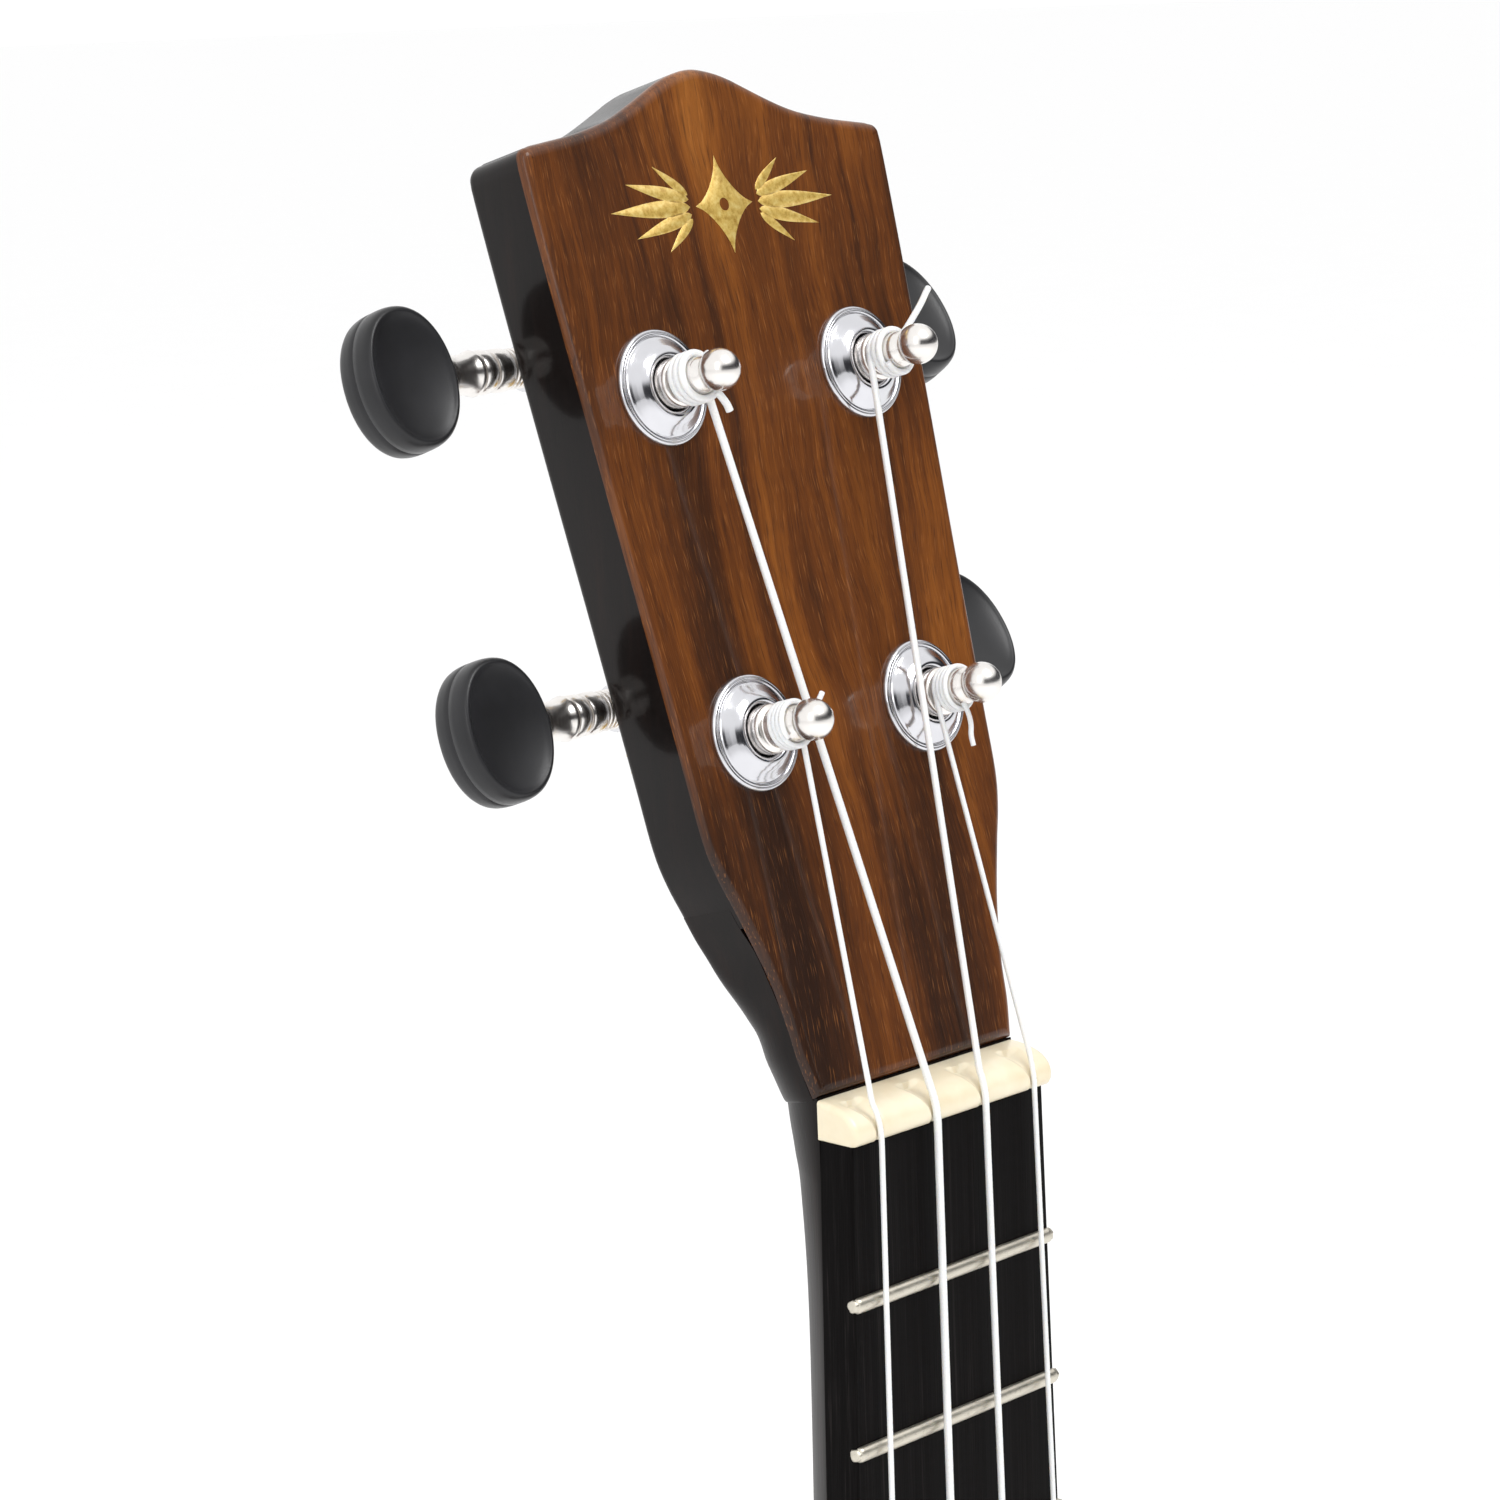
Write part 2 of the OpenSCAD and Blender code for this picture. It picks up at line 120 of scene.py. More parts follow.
class NT:
    """small helper that builds a node tree"""

    def __init__(self, name):
        self.mat = bpy.data.materials.new(name)
        self.mat.use_nodes = True
        self.t = self.mat.node_tree
        self.t.nodes.clear()
        self.out = self.t.nodes.new("ShaderNodeOutputMaterial")
        self.b = self.t.nodes.new("ShaderNodeBsdfPrincipled")
        self.t.links.new(self.b.outputs[0], self.out.inputs[0])

    def n(self, kind, **kw):
        node = self.t.nodes.new(kind)
        for k, v in kw.items():
            setattr(node, k, v)
        return node

    def link(self, a, b):
        self.t.links.new(a, b)

    def set(self, **kw):
        for k, v in kw.items():
            self.b.inputs[k.replace("_", " ")].default_value = v

    def coords(self, rot=(0, 0, 0), scale=(1, 1, 1), loc=(0, 0, 0)):
        tc = self.n("ShaderNodeTexCoord")
        m = self.n("ShaderNodeMapping", vector_type="TEXTURE")
        m.inputs["Rotation"].default_value = rot
        m.inputs["Location"].default_value = loc
        self.link(tc.outputs["Object"], m.inputs["Vector"])
        s = self.n("ShaderNodeVectorMath", operation="MULTIPLY")
        s.inputs[1].default_value = (1000 * scale[0], 1000 * scale[1], 1000 * scale[2])
        self.link(m.outputs[0], s.inputs[0])
        return s.outputs[0]

    def scaled(self, v, s, off=(0, 0, 0)):
        a = self.n("ShaderNodeVectorMath", operation="MULTIPLY_ADD")
        a.inputs[1].default_value = s
        a.inputs[2].default_value = off
        self.link(v, a.inputs[0])
        return a.outputs[0]

    def noise(self, v, scale=1.0, detail=3.0, rough=0.5, dist=0.0):
        t = self.n("ShaderNodeTexNoise")
        t.inputs["Scale"].default_value = scale
        t.inputs["Detail"].default_value = detail
        t.inputs["Roughness"].default_value = rough
        t.inputs["Distortion"].default_value = dist
        self.link(v, t.inputs["Vector"])
        return t.outputs["Fac"]

    def ramp(self, f, stops, interp="LINEAR"):
        r = self.n("ShaderNodeValToRGB")
        r.color_ramp.interpolation = interp
        e = r.color_ramp.elements
        while len(e) > 1:
            e.remove(e[-1])
        e[0].position = stops[0][0]
        e[0].color = (*stops[0][1], 1) if len(stops[0][1]) == 3 else stops[0][1]
        for p, c in stops[1:]:
            k = e.new(p)
            k.color = (*c, 1) if len(c) == 3 else c
        self.link(f, r.inputs[0])
        return r.outputs[0]

    def grey(self, f, a, b, lo=0.0, hi=1.0):
        m = self.n("ShaderNodeMapRange")
        m.inputs["From Min"].default_value = lo
        m.inputs["From Max"].default_value = hi
        m.inputs["To Min"].default_value = a
        m.inputs["To Max"].default_value = b
        self.link(f, m.inputs["Value"])
        return m.outputs[0]

    def mix(self, f, a, b, mode="MIX"):
        m = self.n("ShaderNodeMix", data_type="RGBA", blend_type=mode)
        if isinstance(f, (int, float)):
            m.inputs[0].default_value = f
        else:
            self.link(f, m.inputs[0])
        for sock, val in ((m.inputs[6], a), (m.inputs[7], b)):
            if isinstance(val, (tuple, list)):
                sock.default_value = (*val, 1) if len(val) == 3 else val
            else:
                self.link(val, sock)
        return m.outputs[2]

    def math(self, op, a, b=None):
        m = self.n("ShaderNodeMath", operation=op)
        for sock, val in ((m.inputs[0], a), (m.inputs[1], b)):
            if val is None:
                continue
            if isinstance(val, (int, float)):
                sock.default_value = val
            else:
                self.link(val, sock)
        return m.outputs[0]

    def bump(self, h, dist, strength=1.0, coat=False):
        b = self.n("ShaderNodeBump")
        b.inputs["Distance"].default_value = dist
        b.inputs["Strength"].default_value = strength
        self.link(h, b.inputs["Height"])
        self.link(b.outputs[0], self.b.inputs["Normal"])
        if coat:
            self.link(b.outputs[0], self.b.inputs["Coat Normal"])
        return b


def srgb(r, g, b):
    f = lambda c: c / 12.92 if c <= 0.04045 else ((c + 0.055) / 1.055) ** 2.4
    return (f(r / 255), f(g / 255), f(b / 255))


def wood(name, dark, mid, light, rot=(0, 0, 0), streak=1.0, width=0.11, coat=1.0, coat_r=0.04, rough=0.42,
         pore=0.55, pore_bump=0.05, seed=0.0, fine=1.0, coat_bump=False, across=1.0, coat_fade=None):
    """grain runs along local Y after the rotation"""
    m = NT(name)
    v = m.coords(rot=rot, loc=(0, 0, 0))
    # slow wander of the grain lines
    wander = m.noise(m.scaled(v, (0.012, 0.010, 0.012), (seed, seed * 0.7, 0)), 1.0, 2, 0.5)
    w = m.n("ShaderNodeCombineXYZ")
    m.link(m.grey(wander, -9, 9), w.inputs[0])
    add = m.n("ShaderNodeVectorMath", operation="ADD")
    m.link(v, add.inputs[0])
    m.link(w.outputs[0], add.inputs[1])
    vv = add.outputs[0]
    broad = m.noise(m.scaled(vv, (width * across, 0.0055, width), (seed, 3.1, seed)), 1.0, 4, 0.6, 0.35)
    mid_n = m.noise(m.scaled(vv, (width * 5.5 * across, 0.016, width * 5.5), (seed + 4, 1.3, 2)), 1.0, 4, 0.62, 0.2)
    fib = m.noise(m.scaled(vv, (2.6 * across, 0.05, 2.6), (seed, 0, seed)), 1.0, 3, 0.6)
    a = m.math("ADD", m.math("MULTIPLY", broad, 0.62), m.math("MULTIPLY", mid_n, 0.38))
    a = m.math("ADD", m.math("MULTIPLY", a, 0.84), m.math("MULTIPLY", fib, 0.16 * fine))
    col = m.ramp(a, [(0.34, dark), (0.44, tuple(0.55 * d + 0.45 * q for d, q in zip(dark, mid))), (0.51, mid), (0.62, light)])
    # dark streaks
    st = m.noise(m.scaled(vv, (width * 3.2 * across, 0.0075, width * 3.2), (7 + seed, 5, 1)), 1.0, 5, 0.62, 0.5)
    stm = m.grey(st, 0.0, 0.85 * streak, 0.53, 0.68)
    col = m.mix(stm, col, tuple(0.42 * d for d in dark))
    # pores: short fine dark lines
    pr = m.noise(m.scaled(vv, (3.4 * across, 0.11, 3.4), (seed, 2, 0)), 1.0, 2, 0.55)
    pm = m.grey(pr, 0.0, pore, 0.57, 0.70)
    col = m.mix(pm, col, tuple(0.35 * d for d in dark))
    m.link(col, m.b.inputs["Base Color"])
    m.link(m.grey(fib, rough - 0.06, rough + 0.08), m.b.inputs["Roughness"])
    m.set(Coat_Weight=coat, Coat_Roughness=coat_r, Coat_IOR=1.5)
    if coat_fade:
        # the lacquer is rubbed down to satin along the grip: (height from, height to, weight from, weight to)
        sp = m.n("ShaderNodeSeparateXYZ")
        m.link(v, sp.inputs[0])
        m.link(m.grey(sp.outputs[1], coat_fade[2], coat_fade[3], coat_fade[0], coat_fade[1]), m.b.inputs["Coat Weight"])
    m.b.inputs["Specular IOR Level"].default_value = 0.4
    h = m.math("MULTIPLY", m.math("ADD", pm, m.math("MULTIPLY", fib, 0.25)), -1.0)
    m.bump(h, pore_bump * MM, 0.8, coat=coat_bump)
    return m.mat


def metal(name, col, rough=0.06, var=0.05, scratch=0.004, dirt=None):
    m = NT(name)
    v = m.coords()
    n1 = m.noise(v, 0.35, 4, 0.6)
    n2 = m.noise(m.scaled(v, (9, 1.1, 9)), 1.0, 2, 0.5)
    c = m.mix(m.grey(n1, 0, 1, 0.3, 0.75), tuple(0.93 * q for q in col), col)
    if dirt:
        c = m.mix(m.grey(m.noise(v, 1.7, 5, 0.65), 0, 0.5, 0.55, 0.75), c, dirt)
    m.link(c, m.b.inputs["Base Color"])
    m.set(Metallic=1.0)
    m.link(m.grey(n1, rough, rough + var, 0.3, 0.8), m.b.inputs["Roughness"])
    m.bump(n2, scratch * MM, 0.6)
    return m.mat


def plastic(name, col, col2, rough=0.4, bump=0.01, coat=0.0, sss=0.0, scale=1.2, spec=0.5):
    m = NT(name)
    v = m.coords()
    n1 = m.noise(v, 0.12, 4, 0.6)
    n2 = m.noise(v, scale * 4, 3, 0.6)
    m.link(m.mix(m.grey(n1, 0, 1, 0.3, 0.7), col, col2), m.b.inputs["Base Color"])
    m.link(m.grey(n2, rough - 0.05, rough + 0.07, 0.3, 0.7), m.b.inputs["Roughness"])
    m.set(Coat_Weight=coat, Coat_Roughness=0.08)
    m.b.inputs["Specular IOR Level"].default_value = spec
    if sss:
        m.set(Subsurface_Weight=sss, Subsurface_Scale=0.0012)
        m.b.inputs["Subsurface Radius"].default_value = (1.0, 0.8, 0.6)
    m.bump(n2, bump * MM, 0.7)
    return m.mat


ROT_HEAD = Matrix((Vector((1, 0, 0)), ES, EH)).transposed().to_euler()
ROT_Z = Matrix((Vector((1, 0, 0)), Vector((0, 0, 1)), Vector((0, -1, 0)))).transposed().to_euler()
MAT = {}


def face_mat():
    """stained walnut: dark smoky streaks, fine short fibres under lacquer; the centre is left lighter by painted shade
    towards both side edges, with a painted highlight towards the tip
    """
    m = NT("face_veneer")
    v = m.coords(rot=ROT_HEAD)
    wander = m.noise(m.scaled(v, (0.02, 0.013, 0.02), (5, 2, 0)), 1.0, 3, 0.55)
    w = m.n("ShaderNodeCombineXYZ")
    m.link(m.grey(wander, -7, 7), w.inputs[0])
    add = m.n("ShaderNodeVectorMath", operation="ADD")
    m.link(v, add.inputs[0])
    m.link(w.outputs[0], add.inputs[1])
    vv = add.outputs[0]
    sep = m.n("ShaderNodeSeparateXYZ")
    m.link(v, sep.inputs[0])
    patch = m.noise(m.scaled(vv, (0.055, 0.012, 0.055), (2.2, 0.4, 1)), 1.0, 3, 0.5, 0.2)
    band = m.noise(m.scaled(vv, (0.26, 0.010, 0.26), (6, 1.3, 2)), 1.0, 4, 0.6, 0.3)
    fine = m.noise(m.scaled(vv, (1.15, 0.035, 1.15), (1, 4, 2)), 1.0, 4, 0.66, 0.15)
    fib = m.noise(m.scaled(vv, (3.6, 0.16, 3.6), (0, 1, 3)), 1.0, 3, 0.6)
    a = m.math("ADD", m.math("MULTIPLY", patch, 0.50), m.math("MULTIPLY", band, 0.26))
    a = m.math("ADD", a, m.math("MULTIPLY", fine, 0.16))
    a = m.math("ADD", a, m.math("MULTIPLY", fib, 0.08))
    # painted light and shade in the colour: painted shade darkens the wood towards both side edges, a painted highlight
    # lightens it towards the tip, and it is darker near the nut
    # painted shade towards the left and right edges of the face
    a = m.math("ADD", a, m.grey(sep.outputs[0], -0.060, 0.022, -26, -4))
    a = m.math("ADD", a, m.grey(sep.outputs[0], 0.0, -0.062, 4, 24))
    a = m.math("ADD", a, m.grey(sep.outputs[1], -0.055, 0.0, 6, 40))
    # painted highlight: the colour is lifted towards the tip
    a = m.math("ADD", a, m.grey(sep.outputs[1], 0.0, 0.030, 78, 108))
    col = m.ramp(a, [(0.34, srgb(38, 17, 4)), (0.42, srgb(62, 31, 8)), (0.49, srgb(92, 48, 13)), (0.56, srgb(120, 67, 20)), (0.65, srgb(146, 88, 33))])
    # smoky streaks that start and stop along the grain
    s1 = m.noise(m.scaled(vv, (0.42, 0.020, 0.42), (9.3, 7.1, 3)), 1.0, 5, 0.66, 0.6)
    where = m.noise(m.scaled(v, (0.045, 0.022, 0.045), (4.4, 8.2, 0)), 1.0, 2, 0.5)
    sm = m.math("MULTIPLY", m.grey(s1, 0.0, 0.70, 0.52, 0.70), m.grey(where, 0.1, 1.0, 0.42, 0.60))
    col = m.mix(sm, col, srgb(34, 17, 9))
    # short dark pores and pale flecks
    pr = m.noise(m.scaled(vv, (4.6, 0.22, 4.6), (0, 2, 0)), 1.0, 2, 0.55)
    pm = m.grey(pr, 0.0, 0.52, 0.53, 0.70)
    col = m.mix(pm, col, srgb(38, 18, 8))
    fl = m.grey(m.noise(m.scaled(vv, (5.2, 0.3, 5.2), (7, 3, 1)), 1.0, 2, 0.5), 0.0, 0.35, 0.60, 0.74)
    col = m.mix(fl, col, srgb(176, 112, 58))
    m.link(col, m.b.inputs["Base Color"])
    m.link(m.grey(fib, 0.36, 0.5), m.b.inputs["Roughness"])
    m.set(Coat_Weight=0.48, Coat_Roughness=0.08, Coat_IOR=1.45)
    m.b.inputs["Specular IOR Level"].default_value = 0.18
    h = m.math("MULTIPLY", m.math("ADD", pm, m.math("MULTIPLY", fib, 0.3)), -1.0)
    m.bump(h, 0.03 * MM, 0.7)
    return m.mat


MAT["face"] = face_mat()
MAT["dark"] = wood("neck_wood", srgb(9, 5, 4), srgb(17, 9, 7), srgb(27, 14, 9), rot=ROT_Z, streak=0.5, coat_r=0.11, pore=0.3, pore_bump=0.02, rough=0.42,
                   coat_fade=(-22, 30, 0.09, 0.38))
MAT["dark"].node_tree.nodes["Principled BSDF"].inputs["Specular IOR Level"].default_value = 0.06
MAT["neck"] = MAT["dark"]
MAT["top"] = wood("top_wood", srgb(66, 33, 16), srgb(114, 61, 28), srgb(152, 88, 43), rot=ROT_Z, streak=0.5, width=0.07, coat=0.30, coat_r=0.34, seed=11)
MAT["top"].node_tree.nodes["Principled BSDF"].inputs["Specular IOR Level"].default_value = 0.28
MAT["side"] = wood("side_wood", srgb(52, 25, 14), srgb(92, 46, 23), srgb(126, 70, 36), rot=ROT_Z, streak=0.6, width=0.06, coat=0.45, coat_r=0.3, seed=23)
MAT["rib"] = wood("rib_wood", srgb(52, 25, 14), srgb(92, 46, 23), srgb(126, 70, 36), rot=ROT_Z, streak=0.7, width=0.11, coat=0.22, coat_r=0.3, seed=27, across=0.05)
MAT["rib"].node_tree.nodes["Principled BSDF"].inputs["Specular IOR Level"].default_value = 0.2
MAT["inner"] = wood("inner_wood", srgb(150, 108, 66), srgb(182, 138, 90), srgb(206, 166, 116), rot=ROT_Z, streak=0.15, coat=0.0, rough=0.7, pore=0.2, seed=31)
MAT["bridge"] = wood("bridge_wood", srgb(26, 15, 11), srgb(44, 25, 17), srgb(64, 38, 24), rot=(0, 0, math.radians(90)), streak=0.5, coat=0.3, coat_r=0.3, rough=0.45, seed=41)
MAT["bone"] = plastic("bone", srgb(240, 230, 205), srgb(228, 214, 182), rough=0.34, coat=0.4, sss=0.2, bump=0.006)
MAT["chrome"] = metal("bushing_chrome", (0.66, 0.66, 0.69), 0.12, 0.04, 0.001)
MAT["nickel"] = metal("machine_nickel", (0.84, 0.81, 0.78), 0.19, 0.08, 0.002)
MAT["steel"] = metal("machine_steel", (0.72, 0.72, 0.74), 0.16, 0.12, 0.004)
MAT["brass"] = metal("gear_brass", (0.80, 0.62, 0.30), 0.2, 0.12, 0.004, dirt=(0.30, 0.19, 0.08))
MAT["screw"] = metal("screw_metal", (0.70, 0.67, 0.62), 0.2, 0.12, 0.004)
MAT["fret"] = metal("fret_metal", (0.66, 0.62, 0.53), 0.34, 0.16, 0.012, dirt=(0.28, 0.25, 0.20))
MAT["button"] = plastic("button_plastic", (0.012, 0.012, 0.013), (0.018, 0.018, 0.020), rough=0.33, bump=0.006, spec=0.34)
MAT["nylon"] = plastic("string_nylon", (0.86, 0.86, 0.85), (0.80, 0.80, 0.80), rough=0.28, bump=0.002, sss=0.35, spec=0.6)
MAT["pearl"] = plastic("dot_inlay", srgb(232, 228, 218), srgb(206, 212, 214), rough=0.22, coat=0.6, bump=0.001)


def fingerboard_mat():
    m = NT("fingerboard_wood")
    v = m.coords(rot=ROT_Z)
    a = m.noise(m.scaled(v, (1.3, 0.012, 1.3)), 1.0, 5, 0.7, 0.1)
    b = m.noise(m.scaled(v, (5.5, 0.05, 5.5), (3, 1, 2)), 1.0, 3, 0.6)
    f = m.math("ADD", m.math("MULTIPLY", a, 0.55), m.math("MULTIPLY", b, 0.45))
    col = m.ramp(f, [(0.36, srgb(3, 2, 2)), (0.5, srgb(8, 6, 6)), (0.58, srgb(16, 14, 14)), (0.68, srgb(40, 36, 35))])
    m.link(col, m.b.inputs["Base Color"])
    m.link(m.grey(b, 0.38, 0.58, 0.3, 0.7), m.b.inputs["Roughness"])
    m.b.inputs["Specular IOR Level"].default_value = 0.05
    m.bump(b, 0.03 * MM, 0.8)
    return m.mat


MAT["board"] = fingerboard_mat()


def gold_mat():
    m = NT("gold_leaf")
    v = m.coords()
    n = m.noise(v, 1.4, 5, 0.65)
    m.link(m.ramp(n, [(0.3, srgb(196, 152, 66)), (0.5, srgb(232, 196, 104)), (0.7, srgb(246, 220, 140))]), m.b.inputs["Base Color"])
    m.link(m.grey(n, 0.28, 0.45), m.b.inputs["Roughness"])
    m.set(Metallic=0.55, Coat_Weight=0.8, Coat_Roughness=0.06)
    m.bump(m.noise(v, 6.0, 3, 0.5), 0.004 * MM, 0.6)
    return m.mat


MAT["gold"] = gold_mat()

# ------------------------------------------------------------------ mesh helpers


def mesh_obj(name, verts, faces, mat, body=ROOT, replaces=(), slot=None, angle=35, smooth=True):
    me = bpy.data.meshes.new(name)
    me.from_pydata([tuple(v) for v in verts], [], faces)
    return finish_mesh(name, me, mat, body, replaces, slot, angle, smooth)


def finish_mesh(name, me, mat, body=ROOT, replaces=(), slot=None, angle=35, smooth=True):
    bm = bmesh.new()
    bm.from_mesh(me)
    bmesh.ops.remove_doubles(bm, verts=bm.verts, dist=1e-7)
    bmesh.ops.recalc_face_normals(bm, faces=bm.faces)
    bm.to_mesh(me)
    bm.free()
    if smooth:
        me.shade_smooth()
        me.set_sharp_from_angle(angle=math.radians(angle))
    me.materials.append(mat)
    o = bpy.data.objects.new(name, me)
    bpy.context.scene.collection.objects.link(o)
    if body:
        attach(o, body)
    if replaces:
        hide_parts(*replaces)
    return o


def catmull(P, q, closed=False):
    P = [np.array(p, float) for p in P]
    n = len(P)
    out = []
    for i in range(n if closed else n - 1):
        if closed:
            a, b, c, d = P[(i - 1) % n], P[i], P[(i + 1) % n], P[(i + 2) % n]
        else:
            b, c = P[i], P[i + 1]
            a = P[i - 1] if i > 0 else 2 * b - c
            d = P[i + 2] if i + 2 < n else 2 * c - b
        for j in range(q):
            t = j / q
            out.append(0.5 * ((2 * b) + (c - a) * t + (2 * a - 5 * b + 4 * c - d) * t * t + (3 * b - a - 3 * c + d) * t ** 3))
    if not closed:
        out.append(P[-1])
    return out


def inset(P, d):
    """moves a closed line of points inwards by d; the line runs anticlockwise"""
    P = np.array(P)
    n = len(P)
    out = []
    for i in range(n):
        e1 = P[i] - P[i - 1]
        e2 = P[(i + 1) % n] - P[i]
        e1 = e1 / (np.linalg.norm(e1) + 1e-12)
        e2 = e2 / (np.linalg.norm(e2) + 1e-12)
        n1 = np.array([-e1[1], e1[0]])
        n2 = np.array([-e2[1], e2[0]])
        nn = n1 + n2
        L = np.linalg.norm(nn)
        nn = nn / (L + 1e-12)
        k = d / max(0.45, float(nn @ n1))
        out.append(P[i] + nn * k)
    return np.array(out)


def area2(P):
    P = np.array(P)
    x, y = P[:, 0], P[:, 1]
    return 0.5 * float(np.sum(x * np.roll(y, -1) - np.roll(x, -1) * y))


def plate(name, outer, profile, place, mat, holes=(), hole_chamfer=0.0, caps=(True, True), **kw):
    """a plate with a closed outline; profile is [(inset, height)...] from the bottom edge to the top edge.
    place maps (x, y, h) to a point in metres."""
    if area2(outer) < 0:
        outer = outer[::-1]
    bm = bmesh.new()
    rings = []
    for d, h in profile:
        R = inset(outer, d) if d else np.array(outer)
        rings.append([bm.verts.new(place(p[0], p[1], h)) for p in R])
    n = len(outer)
    for a, b in zip(rings[:-1], rings[1:]):
        for j in range(n):
            bm.faces.new((a[j], a[(j + 1) % n], b[(j + 1) % n], b[j]))
    h0, h1 = profile[0][1], profile[-1][1]
    hole_rings = []
    for hl in holes:
        hl = np.array(hl)
        if area2(hl) < 0:
            hl = hl[::-1]
        m = len(hl)
        hp = [(-hole_chamfer, h0), (0, h0 + hole_chamfer), (0, h1 - hole_chamfer), (-hole_chamfer, h1)] if hole_chamfer else [(0, h0), (0, h1)]
        rr = [[bm.verts.new(place(p[0], p[1], h)) for p in (inset(hl, d) if d else hl)] for d, h in hp]
        for a, b in zip(rr[:-1], rr[1:]):
            for j in range(m):
                bm.faces.new((a[j], b[j], b[(j + 1) % m], a[(j + 1) % m]))
        hole_rings.append((rr[0], rr[-1]))
    bm.verts.ensure_lookup_table()
    for k, flag in ((0, caps[0]), (-1, caps[1])):
        if not flag:
            continue
        if not holes:
            bm.faces.new(rings[k])
        else:
            edges = []
            for R in [rings[k]] + [hr[k] for hr in hole_rings]:
                for j in range(len(R)):
                    e = bm.edges.get((R[j], R[(j + 1) % len(R)]))
                    edges.append(e)
            bmesh.ops.triangle_fill(bm, use_beauty=True, edges=edges)
    me = bpy.data.meshes.new(name)
    bm.to_mesh(me)
    bm.free()
    o = finish_mesh(name, me, mat, **kw)
    # the flat faces keep their own normals, so that they shade evenly up to the edge
    axis = (Vector(place(0, 0, 1)) - Vector(place(0, 0, 0))).normalized()
    bm = bmesh.new()
    bm.from_mesh(o.data)
    for e in bm.edges:
        if len(e.link_faces) == 2:
            f1, f2 = (abs(axis.dot(f.normal)) > 0.9999 for f in e.link_faces)
            if f1 != f2:
                e.smooth = False
    bm.to_mesh(o.data)
    bm.free()
    return o


def rounded(h0, h1, r0, r1, steps=5):
    """profile with rounded bottom and top edges"""
    out = []
    if r0:
        for i in range(steps + 1):
            a = math.pi / 2 * i / steps
            out.append((r0 * (1 - math.sin(a)), h0 + r0 * (1 - math.cos(a))))
    else:
        out.append((0, h0))
    if r1:
        for i in range(steps + 1):
            a = math.pi / 2 * i / steps
            out.append((r1 * (1 - math.cos(a)), h1 - r1 * (1 - math.sin(a))))
    else:
        out.append((0, h1))
    return out


def lathe(name, prof, place, mat, seg=72, **kw):
    """prof is [(r, h)...]; place maps (x, y, h) to metres; closed at the ends where r is 0"""
    verts, faces, idx = [], [], []
    for r, h in prof:
        if r < 1e-6:
            idx.append([len(verts)])
            verts.append(place(0, 0, h))
        else:
            idx.append(list(range(len(verts), len(verts) + seg)))
            for j in range(seg):
                a = 2 * math.pi * j / seg
                verts.append(place(r * math.cos(a), r * math.sin(a), h))
    for A, B in zip(idx[:-1], idx[1:]):
        for j in range(seg):
            k = (j + 1) % seg
            if len(A) == 1 and len(B) == 1:
                continue
            if len(A) == 1:
                faces.append((A[0], B[k], B[j]))
            elif len(B) == 1:
                faces.append((A[j], A[k], B[0]))
            else:
                faces.append((A[j], A[k], B[k], B[j]))
    return mesh_obj(name, verts, faces, mat, **kw)


def fillet(P, r, steps=4):
    """rounds the corners of an open profile"""
    P = [np.array(p, float) for p in P]
    out = [P[0]]
    for i in range(1, len(P) - 1):
        a, b, c = P[i - 1], P[i], P[i + 1]
        u, v = a - b, c - b
        lu, lv = np.linalg.norm(u), np.linalg.norm(v)
        k = min(r, lu * 0.45, lv * 0.45)
        p, q = b + u / lu * k, b + v / lv * k
        for j in range(steps + 1):
            t = j / steps
            out.append((1 - t) ** 2 * p + 2 * t * (1 - t) * b + t * t * q)
    out.append(P[-1])
    return [tuple(p) for p in out]


def tube_obj(name, pts, r, mat, seg=12, taper=None, **kw):
    """round tube along points in metres; r in mm"""
    pts = [Vector(p) for p in pts]
    n = len(pts)
    verts, faces = [], []
    t0 = (pts[1] - pts[0]).normalized()
    up = Vector((1, 0, 0)) if abs(t0.x) < 0.9 else Vector((0, 0, 1))
    nrm = (up - t0 * up.dot(t0)).normalized()
    for i in range(n):
        t = (pts[min(i + 1, n - 1)] - pts[max(i - 1, 0)]).normalized()
        nrm = (nrm - t * nrm.dot(t)).normalized()
        b = t.cross(nrm)
        rr = r * (taper(i / (n - 1)) if taper else 1) * MM
        for j in range(seg):
            a = 2 * math.pi * j / seg
            verts.append(pts[i] + rr * (math.cos(a) * nrm + math.sin(a) * b))
    for i in range(n - 1):
        for j in range(seg):
            k = (j + 1) % seg
            faces.append((i * seg + j, i * seg + k, (i + 1) * seg + k, (i + 1) * seg + j))
    faces.append(tuple(range(seg))[::-1])
    faces.append(tuple((n - 1) * seg + j for j in range(seg)))
    return mesh_obj(name, verts, faces, mat, **kw)


def circle(cx, cy, r, n=64):
    return [(cx + r * math.cos(2 * math.pi * i / n), cy + r * math.sin(2 * math.pi * i / n)) for i in range(n)]


# ------------------------------------------------------------------ headstock
HEAD_PTS = [(18.7, 5), (19.2, 9.5), (20, 13.5), (21.2, 18), (23.3, 24), (25, 28.5), (26, 33), (26.5, 41),
            (27.2, 52), (27.9, 63), (28.6, 73), (29.4, 85), (30.3, 99), (31, 113.2), (30.6, 114.9), (29.4, 115.8),
            (26.9, 116.2), (22.5, 116.8), (18, 117.7), (14.9, 118.6), (11.7, 119.9), (8.2, 121.5), (6, 122.5), (3.3, 123.4), (0, 123.9)]


